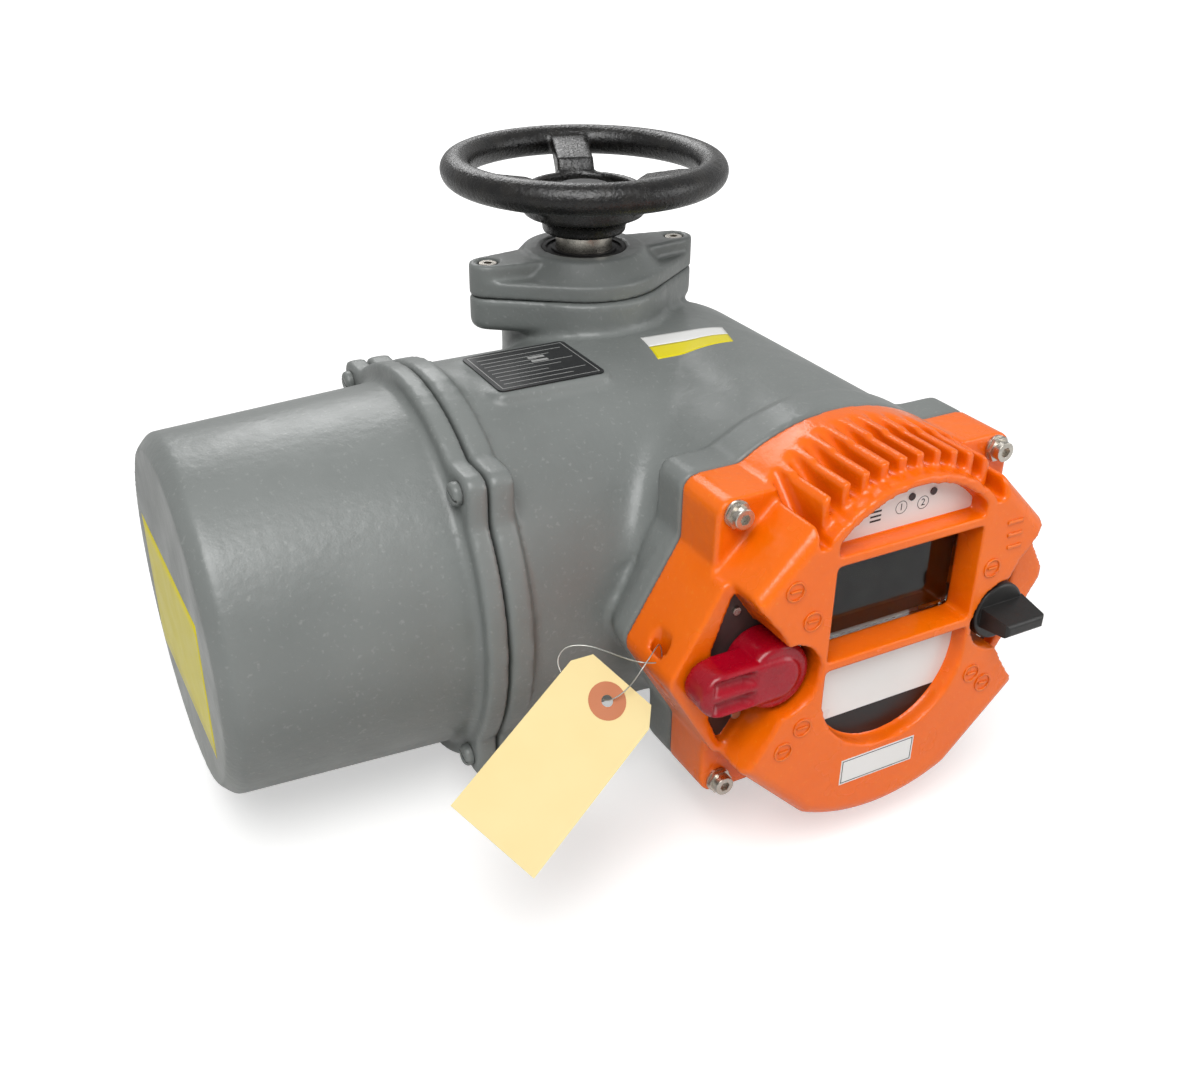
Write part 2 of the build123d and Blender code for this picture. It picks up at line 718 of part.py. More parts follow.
def key_slot(gap):
    """Keyway block between the hub and its tube."""
    return Pos(0, -tube_r, hub_bottom - 1) * Box(5 + 2 * gap, 5 + 2 * gap, hub_top - hub_bottom + 2,
                                                 align=(Align.CENTER, Align.CENTER, Align.MIN))


def handwheel_tube():
    tube = ring_z(tube_r, tube_bore, clutch_z + clutch_height + 1, hub_top + 4)
    return tube - Pos(0, -tube_r, clutch_z + clutch_height) * Box(5.2, 5.2, 2 * (hub_top - clutch_z),
                                                                  align=(Align.CENTER, Align.CENTER, Align.MIN))


def handwheel_key():
    return Pos(0, -tube_r, hub_bottom + 1) * Box(5, 5, hub_top - hub_bottom - 2,
                                                 align=(Align.CENTER, Align.CENTER, Align.MIN))


def hub_nut():
    nut = extrude(Pos(0, 0, hub_top) * (RegularPolygon(hub_r - 1, 6) - Circle(tube_r)), 4)
    return nut


def stem_cap():
    cap = rod_z(tube_bore - seat_gap / 2, hub_top - 8, hub_top + 4) + rod_z(tube_r, hub_top + 4, hub_top + 8)
    return fillet(cap.faces().sort_by(Axis.Z)[-1].edges(), 2.5)


# Orange control cover
def control_cover():
    body = extrude(dial_plane(0) * cover_outline(), lug_depth)
    body += extrude(dial_plane(0) * (ear_outline() & Rectangle(3 * lug_x, 2 * ear_top - 8)), ear_depth)
    flats = Rot(0, 0, 45) * Rectangle(2 * puck_flat, 2 * puck_flat)
    puck = extrude(dial_plane(0) * (Circle(puck_r) & flats), cover_depth)
    puck = fillet(puck.faces().sort_by(Axis.Y)[0].edges(), puck_round)
    body += puck
    body -= fin_front_step()
    for i in range(fin_count + 1):
        body -= fin_groove((i - fin_count / 2) * fin_pitch)
    for side in (-1, 1):
        body -= extrude(dial_plane(pocket_floor) * pocket_outline(side), cover_depth)
        body -= rod_y(spindle_r + run_gap, cover_joint_y - pocket_floor - 1, cover_joint_y - cover_cavity,
                      dial_x + side * knob_x, dial_z)
        slot = Box(slot_width, slot_to - slot_from, 2 * ear_top)
        body -= Pos(dial_x + side * (ear_reach - 9.5), cover_joint_y - (slot_from + slot_to) / 2, dial_z) * slot
    body -= extrude(dial_plane(cover_depth - crescent_depth) * crescent_band(), cover_depth)
    body -= extrude(dial_plane(cover_depth - plate_depth) * plate_band(), cover_depth)
    body -= extrude(dial_plane(cover_cavity - 1) * window_band(), cover_depth)
    body -= extrude(dial_plane(cover_cavity - 1) * glass_outline(0), glass_face() - cover_cavity + 1)
    body -= extrude(dial_plane(-1) * Circle(cavity_r), cover_cavity + 1)
    deep = Circle(cavity_r - 13)
    for side in (-1, 1):
        deep -= offset(pocket_outline(side), pocket_floor - cover_cavity - 4)
    body -= extrude(dial_plane(cover_cavity - 1) * deep, glass_face() - cover_cavity - 1)
    for x, z in cover_screw_places():
        body -= rod_y(cover_screw_r + seat_gap, cover_joint_y - cover_depth, cover_joint_y + 1, dial_x + x, dial_z + z)
    return body


def glass_face():
    return cover_depth - window_depth


def glass_outline(inset):
    middle = (bar_low + bar_high) / 2
    height = bar_high - bar_low - 2 * bar_half
    size = Rectangle(2 * (dial_half + glass_edge - inset), height + 2 * (glass_edge - 3 - inset))
    return Pos(0, middle) * fillet(size.vertices(), 6)


def fin_front_step():
    """Cuts the dome back above the lip, so that the fins end in a row of upright fronts."""
    zone = Pos(0, lip_z + 100) * Rectangle(fin_pitch * fin_count, 200)
    step = zone - Pos(0, lip_z) * Circle(lip_r)
    return extrude(dial_plane(fin_front) * step, cover_depth)


def fin_groove(x):
    """One groove between two fins: it deepens from the back of the dome to the front."""
    top = math.sqrt(puck_r ** 2 - x ** 2)
    lip = lip_z + math.sqrt(lip_r ** 2 - x ** 2)
    width = fin_pitch - fin_thick
    start = 12.0 + 0.0035 * x ** 2
    side = Polygon((start, top + 1), (fin_front - 22, min(lip, top - fin_drop) + 3), (fin_front, lip),
                   (cover_depth + 1, lip), (cover_depth + 1, top + 20), (start, top + 20), align=None)
    plane = Plane(origin=(dial_x + x, cover_joint_y, dial_z), x_dir=(0, -1, 0), z_dir=(-1, 0, 0))
    return extrude(plane * side, width / 2, both=True)


def cover_gasket():
    """Seal ring pressed flat in its groove by the cover."""
    ring = Circle(cavity_r + groove_from + groove_width - seat_gap) - Circle(cavity_r + groove_from + seat_gap)
    return extrude(dial_plane(0) * ring, -groove_deep)


def control_cover_screws():
    screw = socket_screw(cover_screw_r, lug_depth + 16, 6.5, 8.0, 3.5)
    place = cover_joint_y - lug_depth - 1.6
    return [Pos(dial_x + x, place, dial_z + z) * Rot(90, 0, 0) * screw for x, z in cover_screw_places()]


def cover_washers():
    washer = ring_z(8.4, cover_screw_r + 0.15, 0, 1.6)
    place = cover_joint_y - lug_depth
    return [Pos(dial_x + x, place, dial_z + z) * Rot(90, 0, 0) * washer for x, z in cover_screw_places()]


def display_glass():
    return extrude(dial_plane(glass_face() - glass_thick) * glass_outline(seat_gap), glass_thick)


def display_module():
    back = glass_face() - glass_thick - 14
    return extrude(dial_plane(back) * glass_outline(3), 14)


def indicator_label():
    return extrude(dial_plane(cover_depth - crescent_depth) * offset(crescent_band(), -0.4), label_thick)


def lower_label():
    return extrude(dial_plane(cover_depth - plate_depth) * offset(plate_band(), -0.4), label_thick)


def knob_plates():
    plates = []
    for side in (-1, 1):
        outline = offset(pocket_outline(side), -0.4) - Pos(side * knob_x, 0) * Circle(spindle_r + 3)
        plates.append(extrude(dial_plane(pocket_floor) * outline, knob_plate))
    return plates


def plate_marks(radius, height, x, z):
    """A small round part on each knob plate."""
    return [extrude(dial_plane(pocket_floor + knob_plate) * Pos(side * x, z) * Circle(radius), height)
            for side in (-1, 1)]


def plate_screws():
    return plate_marks(2.6, 1.6, knob_x + 15, 36.0)


def stop_pins():
    return plate_marks(3.4, 7.0, knob_x + 14, -35.0)


def knob_spindle(side):
    return rod_y(spindle_r, cover_joint_y - pocket_floor - 4, cover_joint_y - cover_cavity, dial_x + side * knob_x, dial_z)


def red_knob():
    """Hub with a thick lever to the left, with two long finger grooves in its front."""
    start = pocket_floor + knob_plate + slip_gap
    reach = red_reach - red_half
    plan = Pos(-knob_x - reach / 2, 0) * SlotCenterToCenter(reach, 2 * red_half)
    lever = extrude(dial_plane(red_back) * plan, red_front - red_back)
    lever = fillet(lever.faces().sort_by(Axis.Y)[0].edges(), 5)
    hub = extrude(dial_plane(start) * Pos(-knob_x, 0) * Circle(red_hub_r), red_front - red_hub_low - start)
    knob = lever + fillet(hub.faces().sort_by(Axis.Y)[0].edges(), 4)
    for z in (-red_groove_z, red_groove_z):
        groove = Pos(-knob_x - red_reach / 2, z) * SlotOverall(red_groove_length, red_groove_width)
        knob -= extrude(dial_plane(red_front - 3) * groove, 10)
    return knob + knob_spindle(-1)


def black_knob():
    centre = Pos(knob_x, 0)
    start = pocket_floor + knob_plate + slip_gap
    disc = extrude(dial_plane(start) * centre * Circle(black_hub_r), black_front - start)
    disc = fillet(disc.faces().sort_by(Axis.Y)[0].edges(), 2)
    thick, length, proud = black_bar
    bar = extrude(dial_plane(black_front - 2) * Pos(knob_x + 2, 0) * Rectangle(length, thick), proud + 2, taper=6)
    bar = fillet(bar.faces().sort_by(Axis.Y)[0].edges(), 3)
    return disc + bar + knob_spindle(1)


def control_board():
    back = cover_joint_y + cavity_depth - 14
    board = rod_y(cavity_r - 8, back, back + 2, dial_x, dial_z)
    board += Pos(dial_x - 30, back - 9, dial_z + 30) * Box(50, 18, 36)
    board += Pos(dial_x + 36, back - 12, dial_z - 24) * Box(44, 24, 60)
    return board


def board_pillars():
    back = cover_joint_y + cavity_depth
    reach = cavity_r - throat + 7
    return [rod_y(4, back - 12, back, dial_x + reach * math.cos(math.radians(a)),
                  dial_z + reach * math.sin(math.radians(a))) for a in (45, 135, 225, 315)]


# Terminal compartment
def terminal_cover():
    cover = rod_x(terminal_r, terminal_face_x, terminal_face_x + terminal_lid, terminal_y, terminal_z)
    cover = fillet(cover.faces().sort_by(Axis.X)[-1].edges(), 4)
    for place in terminal_screw_places():
        cover -= place * Cylinder(2.8, 60)
    return cover


def terminal_screws():
    screw = socket_screw(2.5, terminal_lid + 10, 4.2, 5.0, 2.2)
    return [place * Pos(0, 0, terminal_lid) * screw for place in terminal_screw_places()]


def terminal_block():
    back = terminal_face_x - terminal_deep
    block = rod_x(terminal_bore - 4, back, back + 12, terminal_y, terminal_z)
    for i in range(6):
        for radius in (14.0, 26.0):
            angle = math.radians(60 * i + radius)
            y = terminal_y + radius * math.cos(angle)
            z = terminal_z + radius * math.sin(angle)
            block += rod_x(2.5, back + 11, back + 20, y, z)
    return block


def conduit_plug():
    plug = Cylinder(conduit_r - seat_gap / 2, 14, align=(Align.CENTER, Align.CENTER, Align.MAX))
    plug += extrude(RegularPolygon(conduit_r + 4, 6), 5)
    return conduit_places()[0] * plug


# Plates and labels that lie on the castings
def name_plate():
    plate = Box(pad_size[0] - 8, pad_size[1] - 8, 1, align=(Align.CENTER, Align.CENTER, Align.MIN))
    plate = fillet(plate.edges().filter_by(Axis.Z), 4)
    return Pos(pad_centre[0], pad_centre[1], pad_top) * plate


nodes = {
    "main_housing": main_housing,
    "motor_cover": motor_cover,
    "motor_cover_gasket": motor_cover_gasket,
    "motor_cover_screws": motor_cover_screws,
    "motor_stator": motor_stator,
    "stator_windings": stator_windings,
    "motor_rotor": motor_rotor,
    "worm_shaft": worm_shaft,
    "motor_bearings": motor_bearings,
    "spring_pack": spring_pack,
    "worm_wheel": worm_wheel,
    "drive_sleeve": drive_sleeve,
    "stem_nut": stem_nut,
    "sleeve_bearings": sleeve_bearings,
    "base_seal": base_seal,
    "clutch_ring": clutch_ring,
    "declutch_shaft": declutch_shaft,
    "declutch_lever": declutch_lever,
    "bearing_cap": bearing_cap,
    "cap_screws": cap_screws,
    "cap_bearing": cap_bearing,
    "shaft_seal": shaft_seal,
    "handwheel": handwheel,
    "handwheel_tube": handwheel_tube,
    "handwheel_key": handwheel_key,
    "hub_nut": hub_nut,
    "stem_cap": stem_cap,
    "control_cover": control_cover,
    "cover_gasket": cover_gasket,
    "control_cover_screws": control_cover_screws,
    "cover_washers": cover_washers,
    "display_glass": display_glass,
    "display_module": display_module,
    "indicator_label": indicator_label,
    "lower_label": lower_label,
    "knob_plates": knob_plates,
    "plate_screws": plate_screws,
    "stop_pins": stop_pins,
    "red_knob": red_knob,
    "black_knob": black_knob,
    "control_board": control_board,
    "board_pillars": board_pillars,
    "terminal_cover": terminal_cover,
    "terminal_screws": terminal_screws,
    "terminal_block": terminal_block,
    "conduit_plug": conduit_plug,
    "name_plate": name_plate,
}

os.makedirs("parts", exist_ok=True)
for name, make in nodes.items():
    made = make()
    solids = made if isinstance(made, list) else [made]
    export_step(Compound(children=[s for piece in solids for s in piece.solids()]), f"parts/{name}.step")
    print(name, round(sum(piece.volume for piece in solids)))
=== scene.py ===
# %% [markdown]
# A multi-turn electric valve actuator, dressed for a photograph.
# The castings, shafts and covers come from the frame at their real size and place. This notebook gives them
# their finishes, rebuilds the pieces that need a softer shape, and adds what is thin: labels, prints and
# wire.

# %% Load the frame
import math

import bmesh
import bpy
from mathutils import Matrix, Vector


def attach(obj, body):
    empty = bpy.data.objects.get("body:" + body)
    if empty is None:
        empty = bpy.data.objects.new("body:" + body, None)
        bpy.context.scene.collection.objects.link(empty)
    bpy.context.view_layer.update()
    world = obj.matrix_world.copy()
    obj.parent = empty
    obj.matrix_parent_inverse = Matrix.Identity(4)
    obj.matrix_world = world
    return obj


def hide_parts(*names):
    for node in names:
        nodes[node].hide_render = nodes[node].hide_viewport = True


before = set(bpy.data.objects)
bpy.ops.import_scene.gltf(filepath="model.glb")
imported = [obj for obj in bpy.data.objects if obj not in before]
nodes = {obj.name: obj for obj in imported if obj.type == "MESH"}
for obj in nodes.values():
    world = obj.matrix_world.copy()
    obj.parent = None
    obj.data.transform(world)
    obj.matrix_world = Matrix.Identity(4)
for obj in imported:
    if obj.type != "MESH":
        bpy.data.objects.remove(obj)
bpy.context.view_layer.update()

# %% [markdown]
# All sizes below are written in millimetres, as on a drawing, and mm turns them into metres.
# Three axes place everything: the drive axis at x = y = 0, the motor axis, and the axis of the control end,
# whose flat places are given as across, up and forward from its joint with the housing.

# %% Units and the main axes
mm = 0.001
motor_y, motor_z = -79.0, 145.0
dial_x, dial_z, joint_y = 49.5, 151.0, -240.0


def on_dial(across, up, forward):
    """A point of the control end, in metres."""
    return Vector((dial_x + across, joint_y - forward, dial_z + up)) * mm


print("front of the control end", tuple(round(v, 3) for v in on_dial(0, 0, 83)))

# %% [markdown]
# The camera stands in front of the left side and looks down a little, as the photographer did.
# Its angle, distance and lens were solved from the ellipse of the hand wheel and the parallel edges of the
# control end. A constraint could aim it at the object, but the picture leans by about half a degree, so the
# camera is built from its three directions.

# %% The camera
camera_azimuth, camera_tilt, camera_roll = -28.16, 28.96, 0.57
focal_pixels, picture_width = 1281.79, 1179
camera_place = Vector((-425.8, -808.6, 590.3)) * mm

azimuth, tilt, roll = (math.radians(a) for a in (camera_azimuth, camera_tilt, camera_roll))
level = Vector((math.cos(azimuth), math.sin(azimuth), 0))
forward = Vector((-math.sin(azimuth) * math.cos(tilt), math.cos(azimuth) * math.cos(tilt), -math.sin(tilt)))
upright = level.cross(forward)
right = math.cos(roll) * level + math.sin(roll) * upright
up = math.cos(roll) * upright - math.sin(roll) * level

camera_data = bpy.data.cameras.new("camera")
camera_data.sensor_width = 36
camera_data.lens = camera_data.sensor_width * focal_pixels / picture_width
camera = bpy.data.objects.new("camera", camera_data)
directions = Matrix((right, up, -forward)).transposed().to_4x4()
camera.matrix_world = Matrix.Translation(camera_place) @ directions
bpy.context.scene.collection.objects.link(camera)
bpy.context.scene.camera = camera
print("lens", round(camera_data.lens, 2), "mm")

# %% [markdown]
# Every finish is a small graph of shader nodes, and a few helpers keep the graphs readable.
# One turns a hex colour, as it is seen on screen, into the linear numbers that a shader works with.
# One adds a node, sets its properties and sockets, and links what feeds it. Two more start a material and
# end it in its shader.

# %% Colours, nodes and materials
def linear(hex_colour):
    """Linear red, green, blue and alpha of an sRGB hex colour."""
    parts = [int(hex_colour[i:i + 2], 16) / 255 for i in (1, 3, 5)]
    return tuple(c / 12.92 if c <= 0.04045 else ((c + 0.055) / 1.055) ** 2.4 for c in parts) + (1,)


def add(tree, kind, values=None, links=None, **settings):
    """One node: its properties, the values of its sockets, and the sockets that feed it."""
    node = tree.nodes.new(kind)
    for name, value in settings.items():
        setattr(node, name, value)
    for socket, value in (values or {}).items():
        node.inputs[socket].default_value = value
    for socket, source in (links or {}).items():
        tree.links.new(source, node.inputs[socket])
    return node


def new_material(name):
    """An empty material, its node tree, and the object's own coordinates in metres."""
    material = bpy.data.materials.new(name)
    material.use_nodes = True
    tree = material.node_tree
    tree.nodes.clear()
    return material, tree, add(tree, "ShaderNodeTexCoord").outputs["Object"]


def finish(material, values, links):
    """Ends a material in its shader, and gives the material back."""
    tree = material.node_tree
    shader = add(tree, "ShaderNodeBsdfPrincipled", values, links)
    add(tree, "ShaderNodeOutputMaterial", links={"Surface": shader.outputs[0]})
    return material


print("orange as the shader sees it", tuple(round(c, 3) for c in linear("#fd7300")))

# %% [markdown]
# Real surfaces vary in two ways: in blotches of colour and gloss, and in relief. A painted picture could hold
# both, but it would blur close up. Noise has no pixels, and its scale can be given as a real size.

# %% Blotches and grain of a real size
def blotches(tree, place, size_mm, detail, start, end, low, high):
    """Noise with blotches about size_mm across; its stretch from start to end becomes low to high."""
    field = add(tree, "ShaderNodeTexNoise", {"Scale": 1 / (size_mm * mm), "Detail": detail},
                {"Vector": place})
    spread = {"From Min": start, "From Max": end, "To Min": low, "To Max": high}
    return add(tree, "ShaderNodeMapRange", spread, {"Value": field.outputs["Fac"]}).outputs["Result"]


def grain(tree, place, size_mm, depth_mm, below, detail=2, roughness=0.5):
    """Grains about size_mm across that stand depth_mm proud of the normal below them."""
    field = add(tree, "ShaderNodeTexNoise",
                {"Scale": 1 / (size_mm * mm), "Detail": detail, "Roughness": roughness}, {"Vector": place})
    return add(tree, "ShaderNodeBump", {"Strength": 1.0, "Distance": depth_mm * mm},
               {"Height": field.outputs["Fac"], "Normal": below}).outputs["Normal"]


print("noise of 3 mm has a scale of", round(1 / (3 * mm)))

# %% [markdown]
# Sprayed enamel on cast aluminium covers the housing, the motor cover and the bearing cap.
# It could be one grey with one roughness, but the real coat shows the skin of the sand mould through it, an
# orange peel from the gun and rubbed edges, and its hollows get a painted shade, found by ambient occlusion.
# Each is one noise or mask in this graph.
# The peel of a real coat is finer than a millimetre; it is drawn at 1.3 mm, so that it shows. A rounded
# normal finds the edges: where it leans away from the true one, the paint is thin and rubbed.

# %% Sprayed enamel on cast aluminium
def edges(tree, soft):
    """1 on edges and 0 on flats, from how far a rounded normal leans away from the true one."""
    true = add(tree, "ShaderNodeNewGeometry").outputs["Normal"]
    lean = add(tree, "ShaderNodeVectorMath", links={0: soft, 1: true}, operation="DOT_PRODUCT")
    spread = {"From Min": 0.80, "From Max": 0.985, "To Min": 1.0, "To Max": 0.0}
    return add(tree, "ShaderNodeMapRange", spread, {"Value": lean.outputs["Value"]}).outputs["Result"]


def sprayed_enamel(name, colour, shade, rubbed, hollow_shade, smooth, dull):
    """Semi-gloss paint over a casting: broad soft highlights, fine grain, paler edges, painted shade in
    hollows.
    """
    material, tree, place = new_material(name)
    cloud = blotches(tree, place, 90, 4, 0.35, 0.65, 0, 1)
    speck = blotches(tree, place, 3.2, 2, 0.62, 0.75, 0, 0.25)
    # Ambient occlusion picks out the hollows, and the darkest colour is mixed in there as painted shade.
    hollow = add(tree, "ShaderNodeAmbientOcclusion", {"Distance": 22 * mm}, samples=4).outputs["AO"]
    tone_mask = add(tree, "ShaderNodeMapRange", {"From Min": 0.2, "From Max": 0.85, "To Min": 0.5, "To Max": 0.0},
               {"Value": hollow}).outputs["Result"]
    soft = add(tree, "ShaderNodeBevel", {"Radius": 1.6 * mm}, samples=4).outputs["Normal"]
    worn = add(tree, "ShaderNodeMath", operation="MULTIPLY",
               links={0: edges(tree, soft), 1: blotches(tree, place, 7, 3, 0.4, 0.62, 0, 0.75)}).outputs[0]
    # Inputs 6 and 7 of a Mix node are its two colours, and output 2 is the mixed one.
    tone = add(tree, "ShaderNodeMix", {6: linear(colour), 7: linear(shade)}, {"Factor": cloud},
               data_type="RGBA")
    # The specks, the painted shade of the hollows and the rubbed edges go over the clouds, in that order.
    for mask, over in ((speck, rubbed), (tone_mask, hollow_shade), (worn, rubbed)):
        tone = add(tree, "ShaderNodeMix", {7: linear(over)}, {"Factor": mask, 6: tone.outputs[2]},
                   data_type="RGBA")
    gloss = blotches(tree, place, 35, 3, 0.3, 0.7, smooth, dull)
    sand = grain(tree, place, 6.0, 0.35, soft, detail=3)
    peel = grain(tree, place, 1.3, 0.05, sand, detail=1)
    return finish(material, {"IOR": 1.5}, {"Base Color": tone.outputs[2], "Roughness": gloss, "Normal": peel})


# The grey coat is half dull, so its highlights are broad. The orange one was sprayed last and shines more.
# The fourth colour of each coat is the painted shade of its hollows.
grey_enamel = sprayed_enamel("grey_enamel_on_casting", "#7f8381", "#767a78", "#a9aca8", "#3d403d", 0.30, 0.44)
orange_enamel = sprayed_enamel("orange_enamel_on_casting", "#fd7300", "#f86b00", "#ff9430", "#a84404",
                               0.19, 0.30)
print(grey_enamel.name, orange_enamel.name)

# %% [markdown]
# The hand wheel is a rough sand casting under thick black enamel: glossy, but covered in grains a millimetre
# or two across, so that its highlights break up into sparks. A strong bump under a smooth coat gives that.

# %% Black enamel on a sand casting
def black_enamel(name, colour, dusty):
    """Glossy black paint over coarse sand grain, with a little dust in patches."""
    material, tree, place = new_material(name)
    tone_mask = blotches(tree, place, 12, 4, 0.45, 0.7, 0, 1)
    tone = add(tree, "ShaderNodeMix", {6: linear(colour), 7: linear(dusty)}, {"Factor": tone_mask},
               data_type="RGBA")
    gloss = blotches(tree, place, 4, 3, 0.35, 0.65, 0.16, 0.34)
    soft = add(tree, "ShaderNodeBevel", {"Radius": 1.2 * mm}, samples=4).outputs["Normal"]
    coarse = grain(tree, place, 2.6, 0.55, soft, detail=4, roughness=0.6)
    fine = grain(tree, place, 1.0, 0.12, coarse)
    return finish(material, {"IOR": 1.5},
                  {"Base Color": tone.outputs[2], "Roughness": gloss, "Normal": fine})


wheel_enamel = black_enamel("black_enamel_on_sand_casting", "#0c0b0b", "#1f1d1a")
print(wheel_enamel.name)

# %% [markdown]
# Bare metals differ in colour and in the marks of the tool that made them. One function serves them all: the
# marks are noise, stretched along the direction in which the tool moved, and given a depth in millimetres.
# Real tool marks lie a tenth of a millimetre apart. Here they are drawn five to ten times as coarse, so that
# they still smear a reflection when the whole actuator is in view.

# %% Machined and rolled metals
def bare_metal(name, colour, dark, roughness, mark_mm, stretch=(1, 1, 1), mark_depth=0.02):
    """A metal with tool marks: its reflections smear across the marks."""
    material, tree, place = new_material(name)
    run = add(tree, "ShaderNodeMapping", {"Scale": stretch}, {"Vector": place}).outputs[0]
    marks = add(tree, "ShaderNodeTexNoise", {"Scale": 1 / (mark_mm * mm), "Detail": 2},
                {"Vector": run}).outputs["Fac"]
    stain = blotches(tree, place, 18, 4, 0.45, 0.75, 0, 0.8)
    tone = add(tree, "ShaderNodeMix", {6: linear(colour), 7: linear(dark)}, {"Factor": stain},
               data_type="RGBA")
    spread = {"From Min": 0.3, "From Max": 0.7, "To Min": roughness - 0.07, "To Max": roughness + 0.1}
    gloss = add(tree, "ShaderNodeMapRange", spread, {"Value": marks}).outputs["Result"]
    soft = add(tree, "ShaderNodeBevel", {"Radius": 0.4 * mm}, samples=4).outputs["Normal"]
    relief = add(tree, "ShaderNodeBump", {"Strength": 1.0, "Distance": mark_depth * mm},
                 {"Height": marks, "Normal": soft}).outputs["Normal"]
    return finish(material, {"Metallic": 1.0},
                  {"Base Color": tone.outputs[2], "Roughness": gloss, "Normal": relief})


# Turned steel and bronze carry rings round the vertical axis, so their marks are stretched level.
stainless = bare_metal("stainless_steel_turned", "#c6c1b8", "#8d867b", 0.28, 0.8, (1, 1, 4))
bronze = bare_metal("tin_bronze_turned", "#b98b4e", "#8a6335", 0.32, 1.0, (1, 1, 4))
# Grinding leaves long, shallow lines: a sharp highlight with a slight smear.
polished = bare_metal("steel_ground_and_polished", "#d3d0ca", "#a29d94", 0.16, 0.9, (0.15, 0.15, 5), 0.008)
# Zinc plating is bluish and a little cloudy, with no direction.
zinc = bare_metal("steel_zinc_plated", "#b9bab4", "#8c8c84", 0.36, 1.5)
# Windings and stacked sheets show their turns and layers as deep lines.
copper = bare_metal("enamelled_copper_wire", "#b5683a", "#7d3f20", 0.35, 0.9, (1, 6, 6), 0.15)
laminations = bare_metal("electrical_steel_stacked", "#7e7f82", "#55565a", 0.42, 0.5, (8, 0.3, 0.3), 0.06)
print("metals:", stainless.name, polished.name, zinc.name, bronze.name, copper.name, laminations.name)

# %% [markdown]
# Plastics and rubber are not metals: their colour comes from inside, and the mould leaves a faint skin. They
# could share the enamel's graph, but nothing is worn or dusty on them. They get a shorter one, with the grain
# size and gloss of each.

# %% Moulded materials
def moulded(name, colour, shade, roughness, grain_mm, grain_depth, edge_mm=0.5):
    """A plastic or rubber: even colour, faint clouds and a fine moulded skin."""
    material, tree, place = new_material(name)
    cloud = blotches(tree, place, 25, 4, 0.35, 0.68, 0, 1)
    tone = add(tree, "ShaderNodeMix", {6: linear(colour), 7: linear(shade)}, {"Factor": cloud},
               data_type="RGBA")
    gloss = blotches(tree, place, 5, 3, 0.3, 0.7, roughness - 0.05, roughness + 0.08)
    soft = add(tree, "ShaderNodeBevel", {"Radius": edge_mm * mm}, samples=4).outputs["Normal"]
    skin = grain(tree, place, grain_mm, grain_depth, soft)
    return finish(material, {"IOR": 1.49},
                  {"Base Color": tone.outputs[2], "Roughness": gloss, "Normal": skin})


# The red knob came out of a polished mould, so it has small bright highlights.
red_plastic = moulded("red_polyamide_moulded", "#a8001f", "#98001b", 0.24, 1.2, 0.02, 0.9)
# The black one has the satin of a mould that was only milled.
black_plastic = moulded("black_polyamide_moulded", "#161616", "#1f1e1d", 0.40, 0.9, 0.03, 0.6)
# Rubber is the dullest thing here, and reads as a dark line between castings.
nitrile = moulded("nitrile_rubber_moulded", "#191919", "#242322", 0.62, 0.8, 0.03)
# Dyed anodising has a brownish cast and the evenness of rolled sheet.
dark_sheet = moulded("dark_anodised_sheet", "#3b3231", "#4a3f3d", 0.42, 0.5, 0.01, 0.2)
# Solder mask over glass cloth: green, with a faint weave.
board_green = moulded("glass_epoxy_board", "#1d4a30", "#163a26", 0.35, 0.6, 0.02)
print("moulded:", len(bpy.data.materials), "materials so far")

# %% [markdown]
# Labels are thin printed films. A moulded skin would show as dirt on them, so they get their own short graph:
# one even colour with a very faint cloud, and a gloss that hardly changes.

# %% Printed films, card and paper
def printed(name, colour, shade, roughness, clouds_mm=40):
    """A film or card: even colour, faint clouds, no relief."""
    material, tree, place = new_material(name)
    cloud = blotches(tree, place, clouds_mm, 3, 0.3, 0.8, 0, 0.5)
    tone = add(tree, "ShaderNodeMix", {6: linear(colour), 7: linear(shade)}, {"Factor": cloud},
               data_type="RGBA")
    gloss = blotches(tree, place, clouds_mm / 2, 2, 0.3, 0.7, roughness - 0.03, roughness + 0.05)
    return finish(material, {"IOR": 1.45}, {"Base Color": tone.outputs[2], "Roughness": gloss})


# Film has the sheen of smooth plastic, ink and card have next to none, and a lamp's lens is nearly a mirror.
white_film = printed("white_polyester_film", "#f2f2f0", "#e9e8e5", 0.30)
black_film = printed("black_printed_film", "#101012", "#18181a", 0.32)
plate_film = printed("dark_etched_plate", "#242526", "#2c2d2e", 0.36)
yellow_film = printed("yellow_vinyl_film", "#eadb1e", "#dccb18", 0.38)
grey_ink = printed("grey_printing_ink", "#a9aaa8", "#9b9c9a", 0.5)
red_lamp = printed("dark_red_lamp_lens", "#3a1412", "#2a0d0c", 0.15)
card = printed("manila_card", "#f3e0a6", "#ead393", 0.7, 60)
patch_fibre = printed("red_fibre_ring", "#c9805c", "#bb7250", 0.75)
print("films and card:", len(bpy.data.materials), "materials so far")

# %% [markdown]
# Every new piece stands at the origin with its place in its mesh, as the frame's own pieces do. Modifiers
# could stay live on it, but a plain mesh can be measured, carried by a body and written out as it is.

# %% Objects and their meshes
def link(name, mesh, material=None, smooth=True):
    """A new object at the origin, with its place in its mesh."""
    piece = bpy.data.objects.new(name, mesh)
    bpy.context.scene.collection.objects.link(piece)
    if material is not None:
        mesh.materials.clear()
        mesh.materials.append(material)
    for face in mesh.polygons:
        face.use_smooth = smooth
    return piece


def mesh_of(name, shape):
    """A mesh that takes over what a bmesh holds."""
    mesh = bpy.data.meshes.new(name)
    shape.to_mesh(mesh)
    shape.free()
    return mesh


def evaluated_mesh(piece):
    """The mesh of a piece with its modifiers applied; the piece itself is removed."""
    graph = bpy.context.evaluated_depsgraph_get()
    mesh = bpy.data.meshes.new_from_object(piece.evaluated_get(graph), depsgraph=graph)
    bpy.data.objects.remove(piece)
    return mesh


print("object helpers ready")

